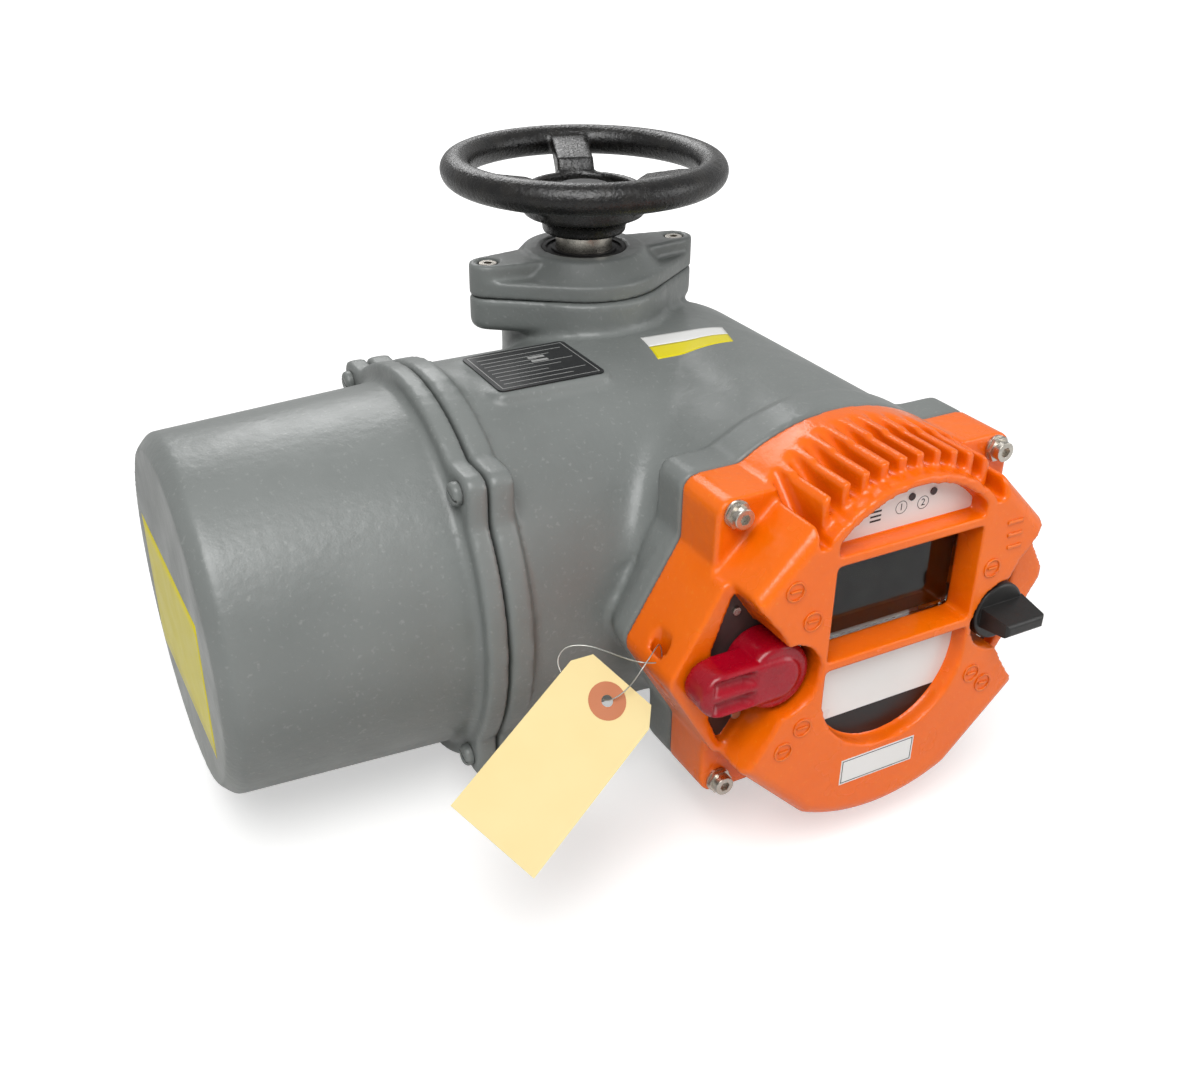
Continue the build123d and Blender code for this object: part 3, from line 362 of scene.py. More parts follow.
# %% [markdown]
# The frame's castings have true sizes but sharp edges where their surfaces meet. Sand castings have none:
# every corner is rounded by the mould and by the paint. Bevels could round them one by one, but they fail
# where curved walls meet. A voxel remesh wraps the whole casting in one even skin, and a few rounds of
# smoothing melt its corners by a millimetre or two. Plugs fill what the covers hide, so that the skin stays
# outside, and cuts open what has to stay free.

# %% The skin of a casting
melt_rounds, least_melt, same_place = 120, 0.02, 1e-6


def rod_mesh(shape, radius, start, end, sides=64):
    """Adds a closed round bar from start to end, both in millimetres, to a bmesh."""
    start, end = Vector(start) * mm, Vector(end) * mm
    turn = (end - start).to_track_quat("Z", "Y").to_matrix().to_4x4()
    bmesh.ops.create_cone(shape, cap_ends=True, segments=sides, radius1=radius * mm, radius2=radius * mm,
                          depth=(end - start).length, matrix=Matrix.Translation((start + end) / 2) @ turn)


def cut_mesh(node, cuts):
    """The mesh of a node with a list of solids taken away from it."""
    shape = bmesh.new()
    for kind, *place in cuts:
        kind(shape, *place)
    cutter = link("cutter", mesh_of("cutter", shape))
    rough = link("rough_cut", nodes[node].data.copy())
    cut = rough.modifiers.new("cut", "BOOLEAN")
    cut.operation = "DIFFERENCE"
    cut.solver = "EXACT"
    cut.object = cutter
    mesh = evaluated_mesh(rough)
    bpy.data.objects.remove(cutter)
    return mesh


def cast_skin(node, name, voxel_mm, rounds, plugs=(), soften=None, cuts=()):
    """The skin of a casting: its node, if it has one, cut, plugged, remeshed and smoothed."""
    shape = bmesh.new()
    if node is not None:
        shape.from_mesh(cut_mesh(node, cuts) if cuts else nodes[node].data)
    bmesh.ops.remove_doubles(shape, verts=shape.verts, dist=same_place)
    for kind, *place in plugs:
        kind(shape, *place)
    rough = link("rough_" + name, mesh_of(name, shape))
    remesh = rough.modifiers.new("remesh", "REMESH")
    remesh.mode = "VOXEL"
    remesh.voxel_size = voxel_mm * mm
    remesh.use_smooth_shade = True
    even = evaluated_mesh(rough)
    rough = link("even_" + name, even)
    smooth = rough.modifiers.new("smooth", "SMOOTH")
    smooth.factor = 0.5
    smooth.iterations = rounds
    if soften:
        group = rough.vertex_groups.new(name="soft")
        for vertex in even.vertices:
            weight = soften(vertex.co / mm)
            if weight > least_melt:
                group.add((vertex.index,), weight, "REPLACE")
        melt = rough.modifiers.new("melt", "SMOOTH")
        melt.vertex_group = group.name
        melt.factor = 0.5
        melt.iterations = melt_rounds
    piece = link(name, evaluated_mesh(rough))
    print(name, len(piece.data.polygons), "faces")
    return piece


print("edges melt for", melt_rounds, "rounds where bodies meet")

# %% [markdown]
# The main housing is three round bodies that run into each other: the motor branch, the barrel of the control
# end and the column under the hand wheel. On the real casting a hand passes from one to the next without
# meeting an edge. The skin is smoothed a hundred times more along the lines where two bodies meet.

# %% Main housing
branch_r, barrel_r, column_r, blend_reach = 131.0, 125.0, 61.0, 26.0
# Nothing melts past the flanges of the motor and the control end, nor near the foot and the top.
motor_flange_end, control_flange_end, foot_top, column_top = -140.0, -205.0, 25.0, 268.0


def near_joint_of_bodies(point):
    """1 where two of the round bodies meet, falling to 0 some way off."""
    if point.x < motor_flange_end or point.y < control_flange_end or not foot_top <= point.z <= column_top:
        return 0.0
    to_branch = abs(math.hypot(point.y - motor_y, point.z - motor_z) - branch_r)
    to_barrel = abs(math.hypot(point.x - dial_x, point.z - dial_z) - barrel_r)
    to_column = abs(math.hypot(point.x, point.y) - column_r)
    nearest = sorted((to_branch if point.x < dial_x else blend_reach, to_barrel, to_column))
    return max(0.0, 1 - nearest[1] / blend_reach)


housing = cast_skin("main_housing", "main_housing_skin", 2.6, 4, [
    # behind the motor cover, behind the control end, under the bearing cap and under the terminal cover
    (rod_mesh, 119.5, (-160.5, motor_y, motor_z), (-94, motor_y, motor_z), 96),
    (rod_mesh, 110.5, (dial_x, joint_y + 0.5, dial_z), (dial_x, -112, dial_z), 96),
    (rod_mesh, 43.5, (0, 0, 288), (0, 0, 297.5)),
    (rod_mesh, 40.5, (183.5, -120, 125), (140, -120, 125)),
], near_joint_of_bodies)
housing.data.materials.append(grey_enamel)
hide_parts("main_housing")
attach(housing, "root")

# %% [markdown]
# The motor cover and the bearing cap are castings too, so they get the same skin, the cap with finer voxels.
# The end of the motor cover steps back by a hair, which leaves room for its label inside the frame's length.

# %% Motor cover and bearing cap
cover_end, end_band, step_back = -333.0, 0.6, 0.4
cover = cast_skin("motor_cover", "motor_cover_skin", 2.6, 3)
for vertex in cover.data.vertices:
    if vertex.co.x < (cover_end + end_band) * mm:
        vertex.co.x += step_back * mm
cap = cast_skin("bearing_cap", "bearing_cap_skin", 1.6, 3)
for piece, node in ((cover, "motor_cover"), (cap, "bearing_cap")):
    piece.data.materials.append(grey_enamel)
    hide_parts(node)
    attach(piece, "root")

# %% [markdown]
# The orange cover is the piece that the eye goes to. Its knobs stand in pockets shaped like a spearhead: a
# round well at the knob, two points further out, and a broad flat ear between them and the rim. The frame's
# pocket runs out to a thin wall, so three plugs per side bring the ear's face in to the spearhead, and the
# room above the ear, in which the lever swings, is cut free. Finer voxels keep the ten fins apart.

# %% Control cover
ear_front, pocket_floor, past_front = 55.0, 46.0, 95.0
spear = [(105.0, 54.0), (118.0, 18.0), (117.5, -33.0), (106.0, -59.0)]
ear_rim = [(110.0, 58.5), (139.0, 8.0), (139.0, -8.0), (110.0, -58.5)]
swing_room = [(84.0, -25.0), (90.0, -36.0), (106.0, -59.0), (116.0, -80.0), (180.0, -80.0), (180.0, 80.0),
              (116.0, 80.0), (105.0, 54.0), (90.0, 36.0), (84.0, 25.0)]


def prism(shape, near, far):
    """Adds a closed prism to a bmesh: two outlines of as many points in metres, joined by its sides."""
    ends = [[shape.verts.new(point) for point in outline] for outline in (near, far)]
    faces = [shape.faces.new(end) for end in ends]
    for i in range(len(near)):
        j = (i + 1) % len(near)
        faces.append(shape.faces.new((ends[0][i], ends[0][j], ends[1][j], ends[1][i])))
    bmesh.ops.recalc_face_normals(shape, faces=faces)


def dial_prism(shape, outline, back, front):
    """Adds a prism to a bmesh: an outline (across, up) between two depths of the control end."""
    prism(shape, *([on_dial(a, u, depth) for a, u in outline] for depth in (back, front)))


plugs, cuts = [], []
for side in (-1, 1):
    cuts.append((dial_prism, [(side * a, u) for a, u in swing_room], ear_front, past_front))
    for i in range(3):
        quad = [spear[i], ear_rim[i], ear_rim[i + 1], spear[i + 1]]
        plugs.append((dial_prism, [(side * a, u) for a, u in quad], pocket_floor, ear_front))
orange_cover = cast_skin("control_cover", "control_cover_skin", 1.9, 2, plugs, cuts=cuts)
orange_cover.data.materials.append(orange_enamel)
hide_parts("control_cover")
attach(orange_cover, "root")

# %% [markdown]
# The hand wheel of the photograph has a bell-shaped hub whose shallow bowl hides the nut, and three broad
# arms that climb out of it and meet the rim level. It is one casting, so a ring, a lathed bell and three arms
# are put together and drawn over with one skin. Separate smooth pieces would show a seam at each arm.

# %% Hand wheel
rim_r, rim_section, rim_z, rim_sides = 90.75, 10.85, 378.75, 32
bell = [(20.6, 334), (30, 334), (30, 339), (33, 344), (39, 346.4), (44, 347), (44, 363), (40, 367), (35, 367),
        (35, 358), (20.6, 358)]
arm_side = [(37, 348), (60, 364), (81, 374.3), (81, 383.2), (66, 381), (42, 375.7), (35, 364)]
first_arm, arm_half_width = 71.0, 13.5


def lathe(shape, profile, sides=96):
    """Adds a closed ring to a bmesh: a profile (radius, height) turned about the vertical axis."""
    rings = []
    for i in range(sides):
        turn = 2 * math.pi * i / sides
        across, along = math.cos(turn), math.sin(turn)
        rings.append([shape.verts.new((r * across * mm, r * along * mm, z * mm)) for r, z in profile])
    faces = []
    for here, beyond in zip(rings, rings[1:] + rings[:1]):
        for j in range(len(profile)):
            k = (j + 1) % len(profile)
            faces.append(shape.faces.new((here[j], beyond[j], beyond[k], here[k])))
    bmesh.ops.recalc_face_normals(shape, faces=faces)


def arm(shape, turn):
    """Adds one arm of the wheel, turned about the vertical axis."""
    spin = Matrix.Rotation(math.radians(turn), 4, "Z")
    prism(shape, *([spin @ Vector((x * mm, y * mm, z * mm)) for x, z in arm_side]
                   for y in (-arm_half_width, arm_half_width)))


section = [(rim_r + rim_section * math.cos(a), rim_z + rim_section * math.sin(a))
           for a in (2 * math.pi * i / rim_sides for i in range(rim_sides))]
wheel = cast_skin(None, "hand_wheel_skin", 1.7, 5, [(lathe, section), (lathe, bell)]
                  + [(arm, first_arm + 120 * i) for i in range(3)])
wheel.data.materials.append(wheel_enamel)
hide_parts("handwheel")
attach(wheel, "handwheel")

# %% [markdown]
# Inside the bell, the tube ends above the bowl's floor, a hexagon nut holds the wheel, and a cap closes the
# tube. All three are turned parts, so each is one profile on the lathe; the nut's lathe has six sides.

# %% Tube, nut and cap
def turned(name, profile, material, node, sides=96):
    """A turned part of the hand wheel that takes the place of a node."""
    shape = bmesh.new()
    lathe(shape, profile, sides)
    piece = link(name, mesh_of(name, shape), material, smooth=False)
    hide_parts(node)
    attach(piece, "handwheel")
    heights = [z for _, z in profile]
    print(name, "from", min(heights), "to", max(heights), "mm")


turned("wheel_tube", [(14.0, 249), (20.4, 249), (20.4, 361.5), (19.6, 362.3), (14.0, 362.3)],
       stainless, "handwheel_tube")
turned("wheel_nut", [(20.6, 358.2), (28.5, 358.2), (28.5, 361.4), (27.2, 362.2), (20.6, 362.2)],
       zinc, "hub_nut", 6)
turned("stem_cap_in_bowl", [(0.4, 350), (13.6, 350), (13.6, 362.6), (19.6, 362.6), (19.6, 365), (18.6, 366),
                            (0.4, 366)], black_plastic, "stem_cap")

# %% [markdown]
# Glass and the display behind it need shaders of their own. The pane is thick float glass, so a plain
# transmission shader is right. The display is a dim brown liquid-crystal panel in a black frame. It could be
# two pieces, but they lie in one plane, so the material tells them apart by their place.

# %% Glass and display
panel_half, panel_up, panel_tall = 39.0, 35.0, 20.0


def window_glass():
    """Clear thick glass, with smears that blur a reflection here and there."""
    material, tree, place = new_material("float_glass")
    smear = blotches(tree, place, 30, 4, 0.4, 0.7, 0.02, 0.10)
    return finish(material, {"Base Color": linear("#f8fcfa"), "IOR": 1.45, "Transmission Weight": 1.0},
                  {"Roughness": smear})


def display_panel():
    """Black frame round a dim brown liquid-crystal panel, told apart by the place on the display."""
    material, tree, place = new_material("display_panel_in_black_frame")
    axes = add(tree, "ShaderNodeSeparateXYZ", links={0: place}).outputs
    inside = []
    for axis, middle, half in (("X", dial_x, panel_half), ("Z", dial_z + panel_up, panel_tall)):
        off = add(tree, "ShaderNodeMath", {1: middle * mm}, {0: axes[axis]}, operation="SUBTRACT")
        off = add(tree, "ShaderNodeMath", links={0: off.outputs[0]}, operation="ABSOLUTE")
        near = add(tree, "ShaderNodeMath", {1: half * mm}, {0: off.outputs[0]}, operation="LESS_THAN")
        inside.append(near.outputs[0])
    both = add(tree, "ShaderNodeMath", links={0: inside[0], 1: inside[1]}, operation="MULTIPLY").outputs[0]
    cloud = blotches(tree, place, 30, 3, 0.35, 0.65, 0, 1)
    panel = add(tree, "ShaderNodeMix", {6: linear("#6f6552"), 7: linear("#5a5142")}, {"Factor": cloud},
                data_type="RGBA")
    tone = add(tree, "ShaderNodeMix", {6: linear("#15120f")}, {"Factor": both, 7: panel.outputs[2]},
               data_type="RGBA")
    gloss = add(tree, "ShaderNodeMapRange", {"To Min": 0.45, "To Max": 0.22}, {"Value": both})
    return finish(material, {"IOR": 1.5},
                  {"Base Color": tone.outputs[2], "Roughness": gloss.outputs["Result"]})


clear_glass = window_glass()
display_film = display_panel()
print(clear_glass.name, display_film.name)

# %% [markdown]
# The frame's pieces whose shape is right keep their mesh and only change their finish. Each could be dressed
# on its own, but one table shows at a glance which material each of them wears. The screws that were painted
# over with the housing share its enamel.

# %% Finishes of the pieces that stay
finishes = {
    grey_enamel: ["terminal_cover", "motor_cover_screws"],
    stainless: ["cap_screws", "control_cover_screws", "cover_washers", "plate_screws", "terminal_screws",
                "declutch_lever", "handwheel_key"],
    polished: ["worm_shaft", "drive_sleeve", "declutch_shaft", "motor_bearings", "sleeve_bearings",
               "cap_bearing", "motor_rotor"],
    zinc: ["spring_pack", "clutch_ring", "stop_pins", "board_pillars", "conduit_plug"],
    bronze: ["worm_wheel", "stem_nut"],
    copper: ["stator_windings"],
    laminations: ["motor_stator"],
    black_plastic: ["black_knob", "terminal_block"],
    display_film: ["display_module"],
    nitrile: ["motor_cover_gasket", "base_seal", "shaft_seal", "cover_gasket"],
    dark_sheet: ["knob_plates"],
    white_film: ["indicator_label", "lower_label"],
    plate_film: ["name_plate"],
    board_green: ["control_board"],
    clear_glass: ["display_glass"],
}
for material, names in finishes.items():
    for name in names:
        for slot in nodes[name].material_slots:
            slot.material = material
dressed = {name for names in finishes.values() for name in names}
print("not in the table:", sorted(set(nodes) - dressed))

# %% [markdown]
# The red lever is one glossy moulding with two hollows for the fingers along it. In the frame they are narrow
# slots. They could be carved with solids, but a hollow that fades out has no edge to carve. So the slots are
# filled first, and then the skin's front is pressed in along two wide troughs.

# %% Red lever
lever_front, front_skin, fill_floor, hub_left = 78.5, 1.5, 72.0, -84.0
fill_start, fill_end, fill_half = 8.0, 45.0, 11.0
trough_place, trough_half, trough_deep = 7.0, 5.6, 6.0
trough_start, trough_end, fade_in, fade_out = 17.0, 47.0, 7.0, 5.0


def trough_depth(across, up):
    """How far the front is pressed in at a place on the lever, in millimetres."""
    along = hub_left - across
    ends = min(max((along - trough_start) / fade_in, 0), 1) * min(max((trough_end - along) / fade_out, 0), 1)
    off = abs(abs(up) - trough_place) / trough_half
    return trough_deep * ends ** 0.5 * max(0.0, 1 - off * off)


fill = [(hub_left - fill_start, -fill_half), (hub_left - fill_end, -fill_half),
        (hub_left - fill_end, fill_half), (hub_left - fill_start, fill_half)]
lever = cast_skin("red_knob", "red_lever", 0.9, 4, [(dial_prism, fill, fill_floor, lever_front)])
for vertex in lever.data.vertices:
    across, depth, up = vertex.co.x / mm - dial_x, joint_y - vertex.co.y / mm, vertex.co.z / mm - dial_z
    if depth > lever_front - front_skin:
        vertex.co.y += trough_depth(across, up) * mm
lever.data.materials.append(red_plastic)
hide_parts("red_knob")
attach(lever, "red_selector")

# %% [markdown]
# Under the heads of the four cover screws sit bright hexagon collars. They are all alike, so a small geometry
# tree stands one on each of four points: points in, one six-sided cylinder on each, then real mesh and a
# material. The tree's inputs are its radius, height and material.

# %% Collars of the cover screws
collar_radius, collar_height, collar_depth = 8.6, 2.6, 41.7
screw_across, screw_up = 97.8, 96.4


def collar_tree():
    """Node tree: a hexagon cylinder, lying along Y, on every point."""
    tree = bpy.data.node_groups.new("hexagon_collars", "GeometryNodeTree")
    face = tree.interface
    face.new_socket("Geometry", in_out="INPUT", socket_type="NodeSocketGeometry")
    for name in ("Radius", "Height"):
        face.new_socket(name, in_out="INPUT", socket_type="NodeSocketFloat")
    face.new_socket("Material", in_out="INPUT", socket_type="NodeSocketMaterial")
    face.new_socket("Geometry", in_out="OUTPUT", socket_type="NodeSocketGeometry")
    start = add(tree, "NodeGroupInput").outputs
    one = add(tree, "GeometryNodeMeshCylinder", {"Vertices": 6},
              {"Radius": start["Radius"], "Depth": start["Height"]})
    placed = add(tree, "GeometryNodeInstanceOnPoints", {"Rotation": (math.pi / 2, 0, 0)},
                 {"Points": start["Geometry"], "Instance": one.outputs["Mesh"]})
    real = add(tree, "GeometryNodeRealizeInstances", links={"Geometry": placed.outputs[0]})
    done = add(tree, "GeometryNodeSetMaterial",
               links={"Geometry": real.outputs[0], "Material": start["Material"]})
    add(tree, "NodeGroupOutput", links={"Geometry": done.outputs[0]})
    return tree


middles = bpy.data.meshes.new("collar_places")
middles.from_pydata([on_dial(a * screw_across, u * screw_up, collar_depth + collar_height / 2)
                     for a in (-1, 1) for u in (-1, 1)], [], [])
rough = link("rough_collars", middles)
collars = rough.modifiers.new("collars", "NODES")
collars.node_group = collar_tree()
inputs = {i.name: i.identifier for i in collars.node_group.interface.items_tree if i.in_out == "INPUT"}
collars[inputs["Radius"]] = collar_radius * mm
collars[inputs["Height"]] = collar_height * mm
collars[inputs["Material"]] = stainless
screw_collars = link("screw_collars", evaluated_mesh(rough), smooth=False)
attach(screw_collars, "root")
print("collars:", len(screw_collars.data.polygons), "faces")

# %% [markdown]
# Labels, prints, the hang tag and its ring are all thin flat plates. They could be masks in the material
# below them, but a plate keeps a crisp edge however near the camera comes. Each is drawn as closed outlines
# on a plane, where an outline inside another makes a hole, and a flat filled curve turns them into a mesh.

# %% Plates on a plane
print_thick, same_corner = 0.06, 1e-7


def plane_at(origin, across, normal):
    """Matrix of a plane, from its origin in metres, its local X and its normal."""
    normal = Vector(normal).normalized()
    across = Vector(across)
    across = (across - across.dot(normal) * normal).normalized()
    return Matrix.Translation(origin) @ Matrix((across, normal.cross(across), normal)).transposed().to_4x4()


def dial_face(depth):
    """Plane of the control end at a depth, with local X across and local Y up."""
    return plane_at(on_dial(0, 0, depth), (1, 0, 0), (0, -1, 0))


def flat_piece(name, curve, plane, thick_mm, material, body):
    """Makes a flat curve a closed mesh, stands it on its plane and gives it to a body."""
    rough = bpy.data.objects.new("rough_" + name, curve)
    bpy.context.scene.collection.objects.link(rough)
    mesh = evaluated_mesh(rough)
    shape = bmesh.new()
    shape.from_mesh(mesh)
    bmesh.ops.remove_doubles(shape, verts=shape.verts, dist=same_corner)
    bmesh.ops.recalc_face_normals(shape, faces=shape.faces)
    shape.transform(plane @ Matrix.Translation((0, 0, thick_mm / 2 * mm)))
    shape.to_mesh(mesh)
    shape.free()
    piece = link(name, mesh, material, smooth=False)
    if body:
        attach(piece, body)
    return piece


def plate(name, outlines, plane, thick_mm, material, body="root"):
    """A closed flat piece of that thickness, standing on a plane."""
    curve = bpy.data.curves.new(name, "CURVE")
    curve.dimensions = "2D"
    curve.fill_mode = "BOTH"
    curve.extrude = thick_mm / 2 * mm
    for outline in outlines:
        spline = curve.splines.new("POLY")
        spline.points.add(len(outline) - 1)
        for point, (x, y) in zip(spline.points, outline):
            point.co = (x * mm, y * mm, 0, 1)
        spline.use_cyclic_u = True
    return flat_piece(name, curve, plane, thick_mm, material, body)


def numeral(name, text, size_mm, place, plane, thick_mm, material):
    """A plain printed numeral, centred on a place of its plane."""
    letters = bpy.data.curves.new(name, "FONT")
    letters.body = text
    letters.size = size_mm * mm
    letters.extrude = thick_mm / 2 * mm
    letters.align_x = "CENTER"
    letters.align_y = "CENTER"
    shift = Matrix.Translation((place[0] * mm, place[1] * mm, 0))
    return flat_piece(name, letters, plane @ shift, thick_mm, material, "root")


print("thickness of a print:", print_thick, "mm")

# %% [markdown]
# Three outlines are enough for all the prints: a box, a disc, and a ring, which is a disc inside a disc.

# %% Outlines
def box(left, low, right, top):
    """The four corners of an upright box."""
    return [(left, low), (right, low), (right, top), (left, top)]


def disc(x, y, radius, sides=40):
    """A circle of short straight sides."""
    return [(x + radius * math.cos(2 * math.pi * i / sides), y + radius * math.sin(2 * math.pi * i / sides))
            for i in range(sides)]


def ring(x, y, outer, inner):
    """Two circles about one middle."""
    return [disc(x, y, outer), disc(x, y, inner)]


print("a disc of 5 mm radius has", len(disc(0, 0, 5)), "corners")

# %% [markdown]
# The upper label carries two numbered lamps and a mark of three bars; the lower one is white with a black
# foot, whose lower edge follows the label's own round. Each print stands a hair above its label, because two
# faces in one plane would flicker through each other.

# %% Prints of the two labels
upper_label, lower_label = 70.32, 72.32
numbered = {"1": (-2.3, 91.5), "2": (14.1, 91.0)}
ring_outer, ring_inner, numeral_size = 4.3, 3.9, 6.5
lens_places, lens_r, lens_thick = ((4.7, 97.0), (21.0, 97.0)), 2.4, 0.7
face = dial_face(upper_label)
plate("lamp_rings", [line for middle in numbered.values() for line in ring(*middle, ring_outer, ring_inner)],
      face, print_thick, black_film)
for text, middle in numbered.items():
    numeral("numeral_" + text, text, numeral_size, middle, face, print_thick, black_film)
plate("lamp_lenses", [disc(*middle, lens_r) for middle in lens_places], face, lens_thick, red_lamp)
plate("bar_mark", [box(-25, low, -17, low + 1.2) for low in (86.5, 89.5, 92.5)],
      face, print_thick, black_film)
foot_edge, foot_middle, foot_r, foot_sides = -47.0, -16.0, 53.8, 40
foot_start = math.asin((foot_edge - foot_middle) / foot_r)
foot_turns = [math.pi - foot_start + (math.pi + 2 * foot_start) * i / foot_sides
              for i in range(foot_sides + 1)]
plate("black_foot", [[(foot_r * math.cos(t), foot_middle + foot_r * math.sin(t)) for t in foot_turns]],
      dial_face(lower_label), print_thick, black_film)
print("the foot spans", round(2 * foot_r * math.cos(foot_start), 1), "mm")

# %% [markdown]
# A white sticker with a ruled frame sits low on the cover, and raised marks stand round the knobs. The marks
# are cast with the cover, so they wear its enamel. As plates they keep the crisp edge that a skin would melt.

# %% Sticker and raised marks of the cover
cover_front, sticker_thick, mark_sink, mark_thick = 83.0, 0.15, 0.4, 1.2
mark_outer, mark_inner, bar_half, bar_thin = 6.6, 5.4, 3.6, 0.7
left, low, right_edge, top = -33.9, -95.0, 24.4, -75.5
plate("cover_sticker", [box(left, low, right_edge, top)], dial_face(cover_front), sticker_thick, white_film)
plate("sticker_frame", [box(left + edge, low + edge, right_edge - edge, top - edge) for edge in (1.0, 1.6)],
      dial_face(cover_front + sticker_thick), print_thick, black_film)
marks = []
for across, up in ((-83.7, 63.3), (-69.2, 39.4), (-68.6, -37.1), (-81.2, -50.8), (67.2, 38.4), (65.9, -40.2),
                   (77.6, -51.1)):
    marks += ring(across, up, mark_outer, mark_inner)
    marks.append(box(across - bar_half, up - bar_thin, across + bar_half, up + bar_thin))
marks += [box(74.0 + 1.5 * i, 67.0 - 9 * i, 86.0 + 1.0 * i, 69.4 - 9 * i) for i in range(3)]
plate("raised_marks", marks, dial_face(cover_front - mark_sink), mark_thick, orange_enamel)
print(len(marks), "outlines of raised marks")

# %% [markdown]
# The name plate is dark etched metal with ruled fields in pale ink. The rules stand on the plate as one thin
# piece, which takes fewer faces than cutting the plate along each line.

# %% Name plate
plate_top = plane_at(Vector((-84, -88, 276.02)) * mm, (1, 0, 0), (0, 0, 1))
frame_line = [box(-35, -29, 35, 29), box(-34.5, -28.5, 34.5, 28.5)]
row_step, row_thin = 6.2, 0.6
rows = [box(-31, 21 - row_step * i, 31 - 12 * (i % 3), 21 + row_thin - row_step * i) for i in range(8)]
fields = [box(2, 4.2 + row_step * i, 14, 7.4 + row_step * i) for i in range(2)]
plate("name_plate_rules", frame_line + rows + fields, plate_top, print_thick, grey_ink)
print(len(rows), "rows and", len(fields), "fields")

# %% [markdown]
# Three stickers lie on curved or painted castings. A flat plate would float over a curve, so they are draped:
# a grid between four corners is dropped onto the skin along one direction, and lifted by its own thickness.

# %% Draped stickers
start_back, longest_drop = 50, 200


def draped(name, corners, casting, direction, material, columns=24, rows=8, lift_mm=0.12, sink_mm=0.3):
    """A sticker between four corners, in millimetres, dropped along a direction onto a casting."""
    shape = bmesh.new()
    direction = Vector(direction)
    grid = []
    for i in range(rows + 1):
        line = []
        for j in range(columns + 1):
            u, v = j / columns, i / rows
            weights = ((1 - u) * (1 - v), u * (1 - v), u * v, (1 - u) * v)
            start = sum((Vector(c) * w for c, w in zip(corners, weights)), Vector()) * mm
            hit = casting.ray_cast(start - direction * start_back * mm, direction,
                                   distance=longest_drop * mm)[1]
            line.append([shape.verts.new(hit - direction * lift * mm) for lift in (lift_mm, -sink_mm)])
        grid.append(line)
    for i in range(rows):
        for j in range(columns):
            a, b, c, d = grid[i][j], grid[i][j + 1], grid[i + 1][j + 1], grid[i + 1][j]
            shape.faces.new((a[0], b[0], c[0], d[0]))
            shape.faces.new((a[1], d[1], c[1], b[1]))
    rim = ([grid[0][j] for j in range(columns)] + [grid[i][columns] for i in range(rows)]
           + [grid[rows][j] for j in range(columns, 0, -1)] + [grid[i][0] for i in range(rows, 0, -1)])
    for near, far in zip(rim, rim[1:] + rim[:1]):
        shape.faces.new((near[0], near[1], far[1], far[0]))
    bmesh.ops.recalc_face_normals(shape, faces=shape.faces)
    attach(link(name, mesh_of(name, shape), material), "root")


down = (0, 0, -1)
back_left, back_right = (5.4, -75.3, 290), (71.4, -78.8, 290)
front_left, front_right = (0.1, -108.9, 290), (60.6, -109.4, 290)
half_left = tuple((a + b) / 2 for a, b in zip(back_left, front_left))
half_right = tuple((a + b) / 2 for a, b in zip(back_right, front_right))
draped("sticker_white_half", (back_left, back_right, half_right, half_left), housing, down, white_film)
draped("sticker_yellow_half", (half_left, half_right, front_right, front_left), housing, down, yellow_film)
draped("motor_end_label", ((-340, 9, 179), (-340, -149, 179), (-340, -149, 81), (-340, 9, 81)),
       cover, (1, 0, 0), yellow_film, lift_mm=0.1)
print("stickers done")

# %% [markdown]
# A manila tag hangs from the padlock slot on the left ear, on a thin steel wire. The tag's plane was found
# from its corners in the photograph, and a red fibre ring guards its hole. The tag could be bent a little,
# but the real one is stiff card and hangs flat.

# %% Hang tag
tag_plane = plane_at(Vector((-119.1, -277.9, 153.4)) * mm, (0.522, -0.632, -0.572), (-0.059, -0.696, 0.716))
tag_half, tag_length, tag_cut_x, tag_cut_y, tag_thick = 30.15, 120.6, 22.5, 12.0, 0.5
hole_x, hole_y, hole_r, patch_r, patch_thick = 0.9, -16.0, 3.6, 11.5, 0.3
tag_outline = [(-tag_half, -tag_length), (tag_half, -tag_length), (tag_half, -tag_cut_y), (tag_cut_x, 0),
               (-tag_cut_x, 0), (-tag_half, -tag_cut_y)]
tag = plate("hang_tag", [tag_outline, disc(hole_x, hole_y, hole_r)],
            tag_plane @ Matrix.Translation((0, 0, -tag_thick * mm)), tag_thick, card, None)
patch = plate("tag_ring", ring(hole_x, hole_y, patch_r, hole_r), tag_plane, patch_thick, patch_fibre, None)
print("tag", 2 * tag_half, "by", tag_length, "mm")

# %% [markdown]
# The wire is stiff: it goes from the slot to a knot, over the tag's top edge, through its hole, round behind
# it in a wide loop, and back to the knot. A simulation would let it droop, so its route is set point by
# point, and a smooth curve of constant thickness follows the points.

# %% Wire of the tag
wire_r = 0.4
wire_route = [(-88.2, -271.0, 156.0), (-92.5, -276.5, 171.5), (-102.0, -284.0, 172.0),
              (-113.5, -289.5, 165.0), (-119.5, -287.5, 154.5), (-127.0, -286.8, 149.4),
              (-132.0, -284.6, 146.9), (-133.6, -279.8, 145.6), (-137.0, -273.0, 147.6),
              (-143.5, -266.5, 151.0), (-150.5, -260.5, 156.5), (-149.5, -253.0, 162.5),
              (-141.5, -249.0, 166.5), (-130.5, -254.0, 167.0), (-122.5, -265.0, 166.5),
              (-116.0, -279.5, 167.5), (-110.5, -288.0, 168.5), (-102.5, -287.5, 166.0)]
curve = bpy.data.curves.new("tag_wire", "CURVE")
curve.dimensions = "3D"
spline = curve.splines.new("NURBS")
spline.points.add(len(wire_route) - 1)
for point, place in zip(spline.points, wire_route):
    point.co = (*(Vector(place) * mm), 1)
spline.order_u = 3
spline.use_endpoint_u = True
curve.bevel_depth = wire_r * mm
curve.bevel_resolution = 3
curve.use_fill_caps = True
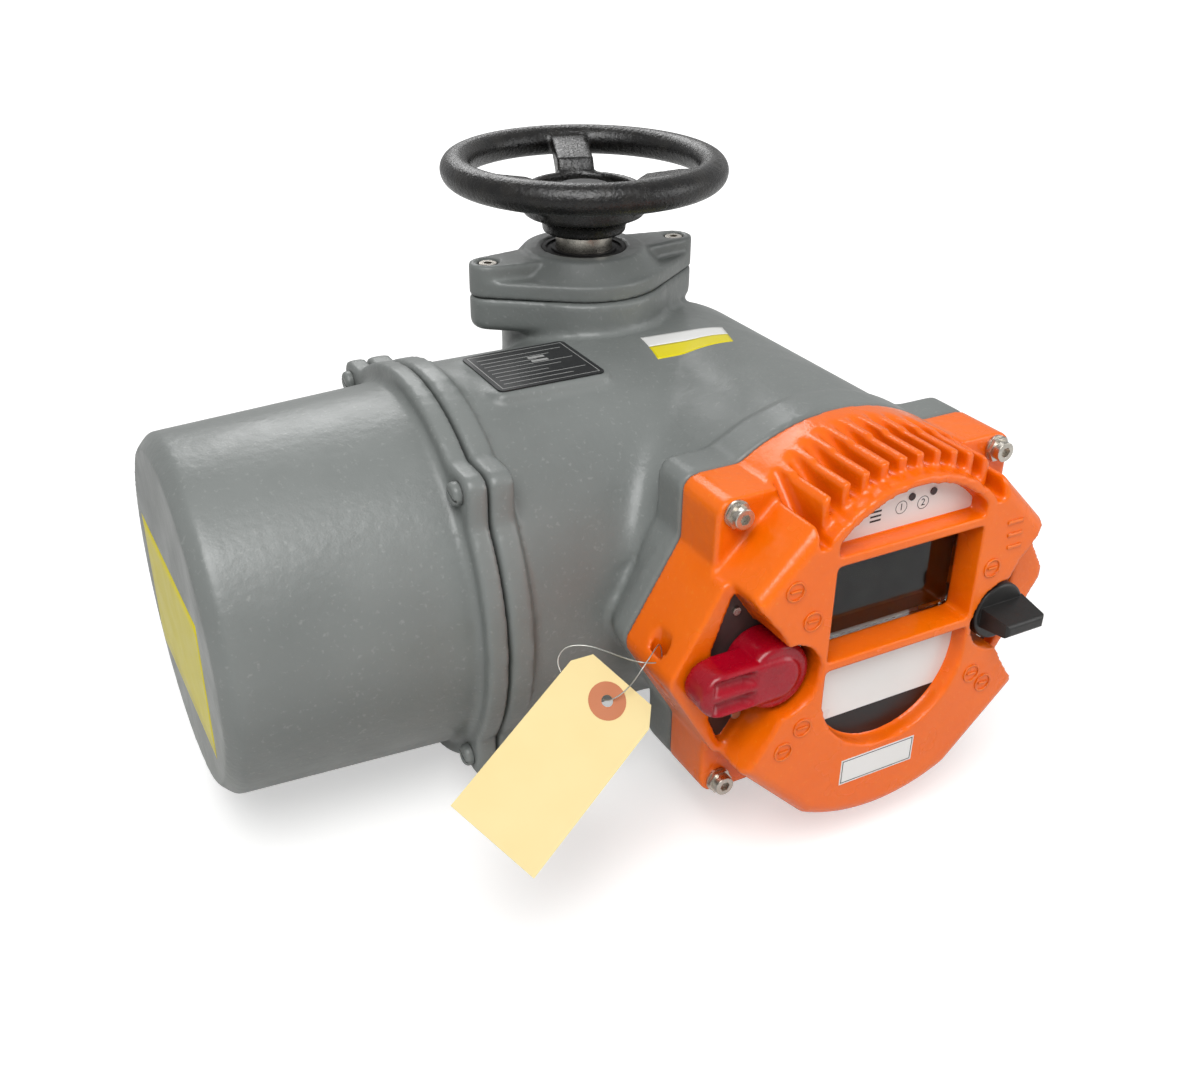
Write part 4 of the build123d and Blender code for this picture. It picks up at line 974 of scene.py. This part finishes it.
curve.materials.append(zinc)
wire = bpy.data.objects.new("tag_wire", curve)
bpy.context.scene.collection.objects.link(wire)
for piece in (tag, patch, wire):
    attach(piece, "root")

# %% [markdown]
# The photograph was taken in a light tent: white all around, a large soft key from above and a little to the
# left, and darker low sides. Three area lamps do that. The world is white to the camera and in reflections,
# but much weaker as a source, so that the undersides stay dark. The floor is pale and keeps the shadow.

# %% Studio
white = linear("#ffffff")
world_ambient, world_in_reflections, floor_in_reflections = 0.16, 0.42, 0.3


def seen_directly(tree, in_reflections):
    """1 for rays of the camera and of glass, less in reflections, 0 for light that falls on things."""
    path = add(tree, "ShaderNodeLightPath").outputs
    glossy = add(tree, "ShaderNodeMath", {1: in_reflections}, {0: path["Is Glossy Ray"]},
                 operation="MULTIPLY")
    either = add(tree, "ShaderNodeMath", links={0: path["Is Camera Ray"], 1: glossy.outputs[0]},
                 operation="MAXIMUM")
    return add(tree, "ShaderNodeMath", links={0: either.outputs[0], 1: path["Is Transmission Ray"]},
               operation="MAXIMUM").outputs[0]


def studio_world():
    """White where it is seen, and a weak even light where it falls on things."""
    world = bpy.data.worlds.new("light_tent")
    world.use_nodes = True
    tree = world.node_tree
    tree.nodes.clear()
    strength = add(tree, "ShaderNodeMapRange", {"To Min": world_ambient, "To Max": 1.0},
                   {"Value": seen_directly(tree, world_in_reflections)})
    background = add(tree, "ShaderNodeBackground", {"Color": white}, {"Strength": strength.outputs["Result"]})
    add(tree, "ShaderNodeOutputWorld", links={"Surface": background.outputs[0]})
    bpy.context.scene.world = world


def pale_floor(half_width):
    """Paper sweep: matt, lifted towards white where it is looked at, and fully white far off."""
    material, tree, place = new_material("paper_sweep")
    far = add(tree, "ShaderNodeVectorMath", links={0: place}, operation="LENGTH").outputs["Value"]
    glow = add(tree, "ShaderNodeMapRange", {"From Min": 0.45, "From Max": 1.9, "To Min": 0.52, "To Max": 1.0},
               {"Value": far})
    strength = add(tree, "ShaderNodeMath", operation="MULTIPLY",
                   links={0: seen_directly(tree, floor_in_reflections), 1: glow.outputs["Result"]})
    matt = add(tree, "ShaderNodeBsdfDiffuse", {"Color": linear("#d9d9d8")})
    lift = add(tree, "ShaderNodeEmission", {"Color": white}, {"Strength": strength.outputs[0]})
    both = add(tree, "ShaderNodeAddShader", links={0: matt.outputs[0], 1: lift.outputs[0]})
    add(tree, "ShaderNodeOutputMaterial", links={"Surface": both.outputs[0]})
    shape = bmesh.new()
    bmesh.ops.create_grid(shape, x_segments=1, y_segments=1, size=half_width)
    link("floor", mesh_of("floor", shape), material)


def lamp(name, place, target, size, watts):
    """A square soft box at place that looks at target, both in metres."""
    light = bpy.data.lights.new(name, "AREA")
    light.size = size
    light.energy = watts
    soft_box = bpy.data.objects.new(name, light)
    aim = (Vector(target) - Vector(place)).to_track_quat("-Z", "Y").to_matrix().to_4x4()
    soft_box.matrix_world = Matrix.Translation(place) @ aim
    bpy.context.scene.collection.objects.link(soft_box)


studio_world()
pale_floor(8.0)
middle = (0.0, -0.1, 0.2)
lamp("key_above_left", (-0.75, -1.15, 1.9), middle, 1.3, 40)
lamp("fill_right", (1.6, -1.4, 0.9), middle, 1.2, 12)
lamp("rim_behind", (0.3, 1.5, 1.5), middle, 1.0, 14)
bpy.context.scene.view_settings.view_transform = "Standard"
print(len(bpy.data.lights), "lamps")
